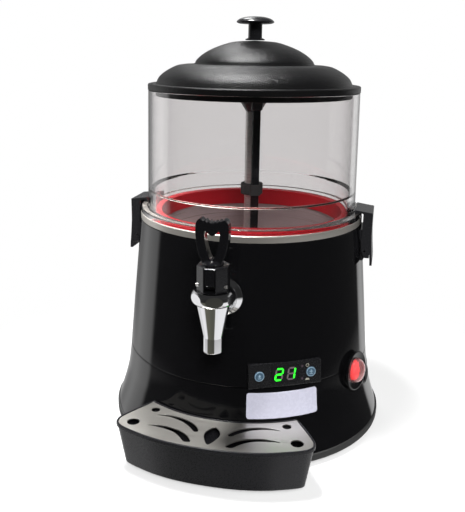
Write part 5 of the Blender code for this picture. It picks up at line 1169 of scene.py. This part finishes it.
def build_panel():
    """Control panel with display, keys, lamps and plain digits."""
    s = sizes()
    place = panel_frame()
    w, h = s.panel_half_w, s.panel_half_h
    body = extruded(rounded(block(w, h), 0.001, 4), -0.014, 0.0)
    soften(body, 0.0008, 3, 0.9, lambda edge: min(v.co.z for v in edge.verts) > -0.001)
    body = shaped(body, extruded(rounded(block(0.0138, 0.0085), 0.001, 4), -0.0015, 0.01))
    for side in (-1.0, 1.0):
        body = shaped(body, extruded(circle(0.0052, SMALL, (side * 0.0262, 0.0)), -0.0058, 0.01))
    bmesh.ops.transform(body, matrix=place, verts=body.verts[:])
    piece("control_panel_visual", body, panel_black(), "housing", ["control_panel"], 40.0)
    window = soften(extruded(rounded(block(0.0135, 0.0082), 0.001, 4), -0.0012, 0.0), 0.0002, 2, 0.9)
    bmesh.ops.transform(window, matrix=place, verts=window.verts[:])
    glass = paint("display_glass", (0.012, 0.012, 0.013, 1.0), (0.05, 0.09), scale=120.0, drift=0.05)
    piece("display_window_visual", window, glass, "housing", ["display_window"], 40.0)
    lit, unlit = [], []
    half_w, half_h, thick, slant = 0.0033, 0.0056, 0.0008, 0.16
    for digit, centre in ((0, -0.0062), (1, 0.0062)):
        for letter, (start, stop) in SEGMENTS.items():
            a = Vector((start[0] * half_w, start[1] * half_h))
            b = Vector((stop[0] * half_w, stop[1] * half_h))
            along = (b - a).normalized()
            side = Vector((-along.y, along.x))
            a, b = a + along * thick * 0.35, b - along * thick * 0.35
            corners = [a, a + (along + side) * thick, b + (side - along) * thick, b, b - (along + side) * thick,
                       a + (along - side) * thick]
            flat = [(centre + p.x + p.y * slant, p.y) for p in corners]
            solid = extruded(flat, -0.0003, 0.00008, place)
            (lit if letter in LIT[digit] else unlit).append(solid)
    piece("display_lit", joined(*lit), glowing("lit_segment", colours().lit, 2.2), "housing", ())
    # The unlit segments get a faint glow in their own grey colour, though they are no lamp: painted light.
    piece("display_unlit", joined(*unlit), glowing("unlit_segment_painted_glow", colours().unlit, 0.35), "housing", ())
    lamps = [turned(profile((0.0, -0.0004), (0.0012, -0.0004), (0.0012, 0.0003, 0.0002), (0.0, 0.0004)), 32,
                    place @ Matrix.Translation((0.0172, y, 0.0))) for y in (0.0063, -0.0063)]
    lamp = paint("unlit_lamp", (0.05, 0.035, 0.045, 1.0), (0.2, 0.3), scale=200.0)
    piece("panel_lamps", joined(*lamps), lamp, "housing", ())
    ring = shaped(extruded(circle(0.0017, 32, (0.0226, 0.0068)), -0.0003, 0.00008),
                  extruded(circle(0.0012, 32, (0.0226, 0.0068)), -0.001, 0.001))
    cap = extruded([
        (0.0205, -0.0082), (0.0248, -0.0082), (0.0248, -0.0073), (0.0236, -0.0063), (0.0217, -0.0063),
        (0.0205, -0.0073)], -0.0003, 0.00008)
    signs = joined(ring, cap)
    bmesh.ops.transform(signs, matrix=place, verts=signs.verts[:])
    ink = paint("sign_ink", (0.34, 0.33, 0.27, 1.0), (0.35, 0.45), scale=500.0)
    piece("panel_signs", signs, ink, "housing", ())
    key = paint("key_rubber", colours().key, (0.32, 0.42), scale=500.0, depth=0.00003)
    mark = paint("key_mark", colours().mark, (0.35, 0.45), scale=400.0)
    for side, word in ((-1.0, "left"), (1.0, "right")):
        seat = place @ Matrix.Translation((side * 0.0262, 0.0, 0.0))
        body = turned(profile(
            (0.0, -0.0042), (0.0049, -0.0042), (0.0049, 0.0007, 0.0004), (0.0, 0.0011)), SMALL, seat)
        piece("panel_button_" + word + "_visual", body, key, "button_" + word, ["panel_button_" + word])
        rim = turned(profile((0.0041, 0.0), (0.0046, 0.0), (0.0046, 0.00095, 0.0001), (0.0041, 0.001, 0.0001)),
                     SMALL, seat)
        bars = [rim, extruded(rounded(block(0.0016, 0.0003, (0.0, -0.0018)), 0.0002), 0.0, 0.0012, seat)]
        if side > 0:
            bars.append(extruded(rounded(block(0.0017, 0.0004, (0.0, 0.0006)), 0.0002), 0.0, 0.0012, seat))
            bars.append(extruded(rounded(block(0.0004, 0.0017, (0.0, 0.0006)), 0.0002), 0.0, 0.0012, seat))
        else:
            drop = rounded([(0.0, 0.0026), (-0.0013, 0.0), (0.0, -0.001), (0.0013, 0.0)], 0.0005)
            bars.append(extruded(drop, 0.0, 0.0012, seat))
        piece("key_mark_" + word, joined(*bars), mark, "button_" + word, ())


def build_switch():
    """Mains switch: ring, lit rocker and clear boot."""
    s = sizes()
    place = face_frame(s.switch_turn, 0.1335, s.switch_z, math.radians(6.0))
    bezel = turned(profile(
        (0.0, -0.0125), (0.0179, -0.0125, 0.0004), (0.0179, 0.002), (s.bezel_r, 0.002, 0.0004),
        (s.bezel_r, 0.0046, 0.0018), (0.0128, 0.0034, 0.0012), (0.0128, 0.0003), (0.0115, 0.0003),
        (0.0115, -0.0065), (0.0, -0.0065), steps=6), MIDDLE, place)
    ring = paint("bezel_gloss", colours().shell, (0.08, 0.13), scale=200.0, depth=0.00001)
    piece("switch_bezel_visual", bezel, ring, "housing", ["switch_bezel"])
    tilt = place @ Matrix.Translation((0.0, 0.0, -0.0006)) @ Matrix.Rotation(math.radians(-7.0), 4, "X")
    rocker = turned(profile(
        (0.0, -0.0023), (0.0108, -0.0023, 0.0004), (0.0108, 0.002, 0.0005), (0.0, 0.0026)), SMALL, tilt)
    ribs = []
    for index in range(7):
        across = (index - 3) * 0.0028
        reach = math.sqrt(0.0102 ** 2 - across ** 2)
        ribs.append(soften(extruded(block(0.0007, reach, (across, 0.0)), 0.0018, 0.0034, tilt), 0.0004, 3, 0.9))
    piece("power_rocker_visual", joined(rocker, *ribs), glowing("rocker_lamp", colours().lamp, 0.55), "rocker",
          ["power_rocker"])
    outer = smooth_path([(0.0126 * out, 0.0006 + 0.0098 * up) for out, up in BOOT_SHARES])
    inner = smooth_path([(0.0116 * out, 0.0006 + 0.0088 * up) for out, up in BOOT_SHARES])
    boot = turned(outer + inner[::-1], SMALL, place)
    piece("switch_boot_visual", boot, clear("clear_boot", colours().boot, 1.4, (0.06, 0.12), 0.88), "housing",
          ["switch_boot"])


def build_rear():
    """Cable gland and drain plug on the back."""
    out = face_frame(math.pi, 0.0, 0.04)
    shell = flare_at(0.04 - 0.0112)
    gland = turned(profile(
        (0.0038, shell - 0.014), (0.0085, shell - 0.014, 0.0006), (0.0085, shell + 0.0004),
        (0.0112, shell + 0.0004, 0.0004), (0.0112, shell + 0.003, 0.0008), (0.0085, shell + 0.003),
        (0.0068, shell + 0.0062, 0.0008), (0.0038, shell + 0.0062, 0.0005)), MIDDLE, out)
    piece("cable_gland_visual", gland, base_black(), "housing", ["cable_gland"])
    out = face_frame(math.pi, 0.0, 0.156)
    face = shell_at(0.156 - 0.0125) + GAP
    plug = turned(profile(
        (0.0, 0.1072), (0.0072, 0.1072, 0.0005), (0.0072, face), (0.0125, face, 0.0005),
        (0.0125, face + 0.0058, 0.0011), (0.0095, face + 0.0052, 0.0006), (0.0, face + 0.0052)), SMALL)
    grips = [extruded(rounded(block(0.0006, 0.0007, (0.0124, 0.0)), 0.0004), face + 0.0008, face + 0.0045,
                      Matrix.Rotation(math.tau * k / 24, 4, "Z")) for k in range(24)]
    bar = soften(extruded(rounded(block(0.0088, 0.0016), 0.0012), face + 0.0045, face + 0.0061), 0.0005, 3, 0.9)
    whole = joined(plug, bar, *grips)
    bmesh.ops.transform(whole, matrix=out, verts=whole.verts[:])
    piece("drain_plug_visual", whole, base_black(), "housing", ["drain_plug"], 40.0)


# Stage


def ramp(tree, source, stops, location):
    made = add_node(tree, "ShaderNodeValToRGB", location=location)
    band = made.color_ramp
    band.interpolation = "EASE"
    while len(band.elements) > 1:
        band.elements.remove(band.elements[0])
    band.elements[0].position = stops[0][0]
    band.elements[0].color = (*stops[0][1], 1.0)
    for spot, colour in stops[1:]:
        band.elements.new(spot).color = (*colour, 1.0)
    tree.links.new(source, made.inputs["Fac"])
    return made


def grey(value):
    return (value, value, value)


def build_world(toward_camera, right):
    """White room for the camera; reflections see a dark front and pale sides."""
    world = bpy.data.worlds.new("white_room")
    bpy.context.scene.world = world
    world.use_nodes = True
    tree = world.node_tree
    link = tree.links.new
    back = tree.nodes["Background"]
    place = add_node(tree, "ShaderNodeTexCoord", location=(-1400, 0))
    flat = add_node(tree, "ShaderNodeVectorMath", operation="MULTIPLY", location=(-1200, 100))
    flat.inputs[1].default_value = (1.0, 1.0, 0.0)
    unit = add_node(tree, "ShaderNodeVectorMath", operation="NORMALIZE", location=(-1040, 100))
    link(place.outputs["Generated"], flat.inputs[0])
    link(flat.outputs[0], unit.inputs[0])

    def share(direction, y):
        dot = add_node(tree, "ShaderNodeVectorMath", operation="DOT_PRODUCT", location=(-880, y))
        dot.inputs[1].default_value = direction
        link(unit.outputs[0], dot.inputs[0])
        scaled = add_node(tree, "ShaderNodeMapRange", location=(-720, y))
        scaled.inputs["From Min"].default_value = -1.0
        link(dot.outputs["Value"], scaled.inputs["Value"])
        return scaled.outputs["Result"]

    ahead = share(toward_camera, 200)
    across = share(right, -100)
    low_side = ramp(tree, ahead, (
        (0.0, grey(0.16)), (0.06, grey(0.3)), (0.2, grey(0.95)), (0.34, grey(1.0)), (0.4, grey(0.05)),
        (1.0, grey(0.02))), (-500, 300))
    high_side = ramp(tree, ahead, (
        (0.0, grey(0.25)), (0.04, grey(0.45)), (0.12, grey(1.0)), (0.15, grey(1.0)), (0.185, grey(0.05)),
        (1.0, grey(0.02))), (-500, 50))
    pick = add_node(tree, "ShaderNodeMapRange", location=(-500, -200))
    pick.inputs["From Min"].default_value = 0.45
    pick.inputs["From Max"].default_value = 0.55
    link(across, pick.inputs["Value"])
    walls = add_node(tree, "ShaderNodeMix", data_type="RGBA", location=(-220, 200))
    link(pick.outputs["Result"], walls.inputs[0])
    link(low_side.outputs["Color"], walls.inputs[6])
    link(high_side.outputs["Color"], walls.inputs[7])
    parts = add_node(tree, "ShaderNodeSeparateXYZ", location=(-1200, -300))
    link(place.outputs["Generated"], parts.inputs[0])
    table_side = ramp(tree, across, (
        (0.0, grey(0.95)), (0.02, grey(0.9)), (0.06, (0.13, 0.13, 0.1)), (0.5, (0.1, 0.1, 0.08)),
        (0.63, (0.12, 0.12, 0.1)), (0.68, grey(0.9)), (1.0, grey(0.95))), (-500, -400))
    table_back = ramp(tree, ahead, ((0.0, grey(0.8)), (0.45, grey(0.8)), (0.55, grey(0.0))), (-500, -650))
    table = add_node(tree, "ShaderNodeMix", data_type="RGBA", blend_type="LIGHTEN", location=(-220, -400))
    table.inputs[0].default_value = 1.0
    link(table_side.outputs["Color"], table.inputs[6])
    link(table_back.outputs["Color"], table.inputs[7])
    depth = add_node(tree, "ShaderNodeMapRange", location=(-880, -500))
    depth.inputs["From Min"].default_value = -0.3
    depth.inputs["From Max"].default_value = -0.46
    link(parts.outputs["Z"], depth.inputs["Value"])
    lower = add_node(tree, "ShaderNodeMix", data_type="RGBA", location=(0, 0))
    link(depth.outputs["Result"], lower.inputs[0])
    link(walls.outputs[2], lower.inputs[6])
    link(table.outputs[2], lower.inputs[7])
    height = add_node(tree, "ShaderNodeMapRange", location=(-880, -750))
    height.inputs["From Min"].default_value = 0.22
    height.inputs["From Max"].default_value = 0.4
    link(parts.outputs["Z"], height.inputs["Value"])
    whole = add_node(tree, "ShaderNodeMix", data_type="RGBA", location=(200, 0))
    upper = ramp(tree, ahead, ((0.0, grey(0.45)), (0.4, grey(0.38)), (0.52, grey(0.04)), (1.0, grey(0.03))),
                 (0, -500))
    link(upper.outputs["Color"], whole.inputs[7])
    link(height.outputs["Result"], whole.inputs[0])
    link(lower.outputs[2], whole.inputs[6])
    path = add_node(tree, "ShaderNodeLightPath", location=(0, 400))
    glossy = add_node(tree, "ShaderNodeMix", data_type="RGBA", location=(420, 100))
    glossy.inputs[6].default_value = REFLECTED_FILL
    mirrored_ray = add_node(tree, "ShaderNodeMath", operation="GREATER_THAN", location=(200, 300))
    mirrored_ray.inputs[1].default_value = 0.5
    link(path.outputs["Glossy Depth"], mirrored_ray.inputs[0])
    link(mirrored_ray.outputs[0], glossy.inputs[0])
    overhead = add_node(tree, "ShaderNodeMapRange", location=(200, -600))
    overhead.inputs["From Min"].default_value = 0.46
    overhead.inputs["From Max"].default_value = 0.6
    link(parts.outputs["Z"], overhead.inputs["Value"])
    capped = add_node(tree, "ShaderNodeMix", data_type="RGBA", location=(400, -200))
    capped.inputs[7].default_value = OVERHEAD_TONE
    link(overhead.outputs["Result"], capped.inputs[0])
    link(whole.outputs[2], capped.inputs[6])
    link(capped.outputs[2], glossy.inputs[7])
    bounced = add_node(tree, "ShaderNodeMath", operation="ADD", location=(200, 500))
    link(path.outputs["Glossy Depth"], bounced.inputs[0])
    link(path.outputs["Diffuse Depth"], bounced.inputs[1])
    straight = add_node(tree, "ShaderNodeMath", operation="LESS_THAN", location=(360, 500))
    straight.inputs[1].default_value = 0.5
    link(bounced.outputs[0], straight.inputs[0])
    through = add_node(tree, "ShaderNodeMath", operation="MULTIPLY", location=(520, 500))
    link(path.outputs["Is Transmission Ray"], through.inputs[0])
    link(straight.outputs[0], through.inputs[1])
    seen = add_node(tree, "ShaderNodeMath", operation="MAXIMUM", location=(680, 400))
    link(path.outputs["Is Camera Ray"], seen.inputs[0])
    link(through.outputs[0], seen.inputs[1])
    final = add_node(tree, "ShaderNodeMix", data_type="RGBA", location=(620, 200))
    final.inputs[7].default_value = (1.0, 1.0, 1.0, 1.0)
    link(seen.outputs[0], final.inputs[0])
    link(glossy.outputs[2], final.inputs[6])
    link(final.outputs[2], back.inputs["Color"])


def floor_finish():
    """Pale floor that fades out away from the machine."""
    made = bpy.data.materials.new("studio_floor")
    made.use_nodes = True
    tree = made.node_tree
    shader = tree.nodes["Principled BSDF"]
    shader.inputs["Roughness"].default_value = 0.8
    shader.inputs["Specular IOR Level"].default_value = 0.0
    tone = add_node(tree, "ShaderNodeGroup", node_tree=tone_group(), location=(-420, 200))
    tone.inputs["Base"].default_value = colours().floor[:]
    tone.inputs["Drift"].default_value = 0.004
    tree.links.new(tone.outputs["Color"], shader.inputs["Base Color"])
    place = add_node(tree, "ShaderNodeTexCoord", location=(-700, -200))
    far = add_node(tree, "ShaderNodeVectorMath", operation="LENGTH", location=(-520, -200))
    fade = add_node(tree, "ShaderNodeMapRange", location=(-340, -200))
    fade.interpolation_type = "SMOOTHSTEP"
    fade.inputs["From Min"].default_value = 0.22
    fade.inputs["From Max"].default_value = 0.42
    fade.inputs["To Min"].default_value = FLAT_FLOOR_ALPHA
    fade.inputs["To Max"].default_value = 0.0
    tree.links.new(place.outputs["Object"], far.inputs[0])
    tree.links.new(far.outputs["Value"], fade.inputs["Value"])
    tree.links.new(fade.outputs["Result"], shader.inputs["Alpha"])
    return made


def lamp(name, spot, aim, power, wide, tall, tone=(1.0, 1.0, 1.0)):
    data = bpy.data.lights.new(name, "AREA")
    data.shape = "RECTANGLE"
    data.size, data.size_y = wide, tall
    data.energy = power
    data.color = tone
    made = bpy.data.objects.new(name, data)
    made.location = spot
    made.rotation_euler = (Vector(aim) - Vector(spot)).to_track_quat("-Z", "Y").to_euler()
    bpy.context.scene.collection.objects.link(made)
    made.visible_transmission = False
    return made


def build_stage():
    """Floor, room, lamps and camera."""
    scene = bpy.context.scene
    scene.view_settings.view_transform = "Standard"
    yaw, pitch, roll, swing = [math.radians(v) for v in CAMERA_DEGREES]
    forward = Vector((math.sin(yaw) * math.cos(pitch), math.cos(yaw) * math.cos(pitch), -math.sin(pitch)))
    level = Vector((math.cos(yaw), -math.sin(yaw), 0.0))
    upward = level.cross(forward)
    right = level * math.cos(roll) + upward * math.sin(roll)
    top = upward * math.cos(roll) - level * math.sin(roll)
    turned_all = Matrix.Rotation(swing, 3, "Z")
    axes = [turned_all @ axis for axis in (right, top, -forward)]
    data = bpy.data.cameras.new("photo_camera")
    data.sensor_width = 24.0
    data.lens = 32.26
    data.shift_x, data.shift_y = 0.00693, 0.00025
    data.clip_start, data.clip_end = 0.01, 20.0
    camera = bpy.data.objects.new("photo_camera", data)
    turn_matrix = Matrix(axes).transposed().to_4x4()
    camera.matrix_world = Matrix.Translation(Vector(CAMERA_SPOT)) @ turn_matrix
    scene.collection.objects.link(camera)
    scene.camera = camera
    work = bmesh.new()
    bmesh.ops.create_circle(work, cap_ends=True, segments=96, radius=0.9)
    mesh = bpy.data.meshes.new("studio_floor")
    work.to_mesh(mesh)
    work.free()
    mesh.materials.append(floor_finish())
    ground = bpy.data.objects.new("studio_floor", mesh)
    scene.collection.objects.link(ground)
    ground.visible_glossy = False
    away = -(turned_all @ forward)
    side = turned_all @ level
    build_world(Vector((away.x, away.y, 0.0)).normalized(), Vector((side.x, side.y, 0.0)).normalized())
    lamp("key_lamp", (-0.2, -0.1, 1.3), (0.0, 0.0, 0.35), 30.0, 0.24, 0.2)
    for name, spot, power in SOFT_LAMPS:
        lamp(name, spot, LAMP_AIM, power, SOFT_LAMP_SIDE, SOFT_LAMP_SIDE).visible_glossy = False
    lamp("back_lamp", (-0.36, 0.8, 1.25), (0.0, 0.0, 0.36), 4.0, 0.3, 0.3)


class PieceOperator:
    bl_options = {"REGISTER", "UNDO"}

    def execute(self, context):
        before = len(bpy.data.objects)
        self.build()
        if len(bpy.data.objects) <= before:
            raise RuntimeError(self.bl_label + " made no piece")
        return {"FINISHED"}


def operator(label, word, build):
    """Operator class for one group of pieces."""
    return type("DISPENSER_OT_" + word, (PieceOperator, bpy.types.Operator), {
        "bl_idname": "dispenser." + word, "bl_label": label, "__doc__": build.__doc__,
        "build": staticmethod(build)})


OPERATORS = [
    operator("Base", "base", build_base), operator("Housing", "housing", build_housing),
    operator("Steel parts", "steel", build_steel), operator("Drive", "drive", build_drive),
    operator("Bowl", "bowl", build_bowl), operator("Stirrer", "stirrer", build_stirrer),
    operator("Lid", "lid", build_lid), operator("Latches", "latches", build_latches),
    operator("Tap", "tap", build_tap), operator("Lever", "lever", build_lever),
    operator("Tray", "tray", build_tray), operator("Panel", "panel", build_panel),
    operator("Switch", "switch", build_switch), operator("Rear fittings", "rear", build_rear),
    operator("Stage", "stage", build_stage)]


class VIEW3D_PT_dispenser(bpy.types.Panel):
    bl_label = "Drink dispenser"
    bl_space_type = "VIEW_3D"
    bl_region_type = "UI"
    bl_category = "Dispenser"

    def draw(self, context):
        column = self.layout.column(align=True)
        for made in OPERATORS:
            column.operator(made.bl_idname)
        for group_of in (context.scene.dispenser_sizes, context.scene.dispenser_colours):
            box = self.layout.box()
            for name in group_of.__annotations__:
                box.prop(group_of, name)


CLASSES = [DispenserSizes, DispenserColours, *OPERATORS, VIEW3D_PT_dispenser]


def register():
    for made in CLASSES:
        bpy.utils.register_class(made)
    bpy.types.Scene.dispenser_sizes = bpy.props.PointerProperty(type=DispenserSizes)
    bpy.types.Scene.dispenser_colours = bpy.props.PointerProperty(type=DispenserColours)


def unregister():
    del bpy.types.Scene.dispenser_colours
    del bpy.types.Scene.dispenser_sizes
    for made in reversed(CLASSES):
        bpy.utils.unregister_class(made)


def main():
    register()
    for made in OPERATORS:
        getattr(bpy.ops.dispenser, made.bl_idname.split(".")[1])()


if __name__ == "__main__":
    main()
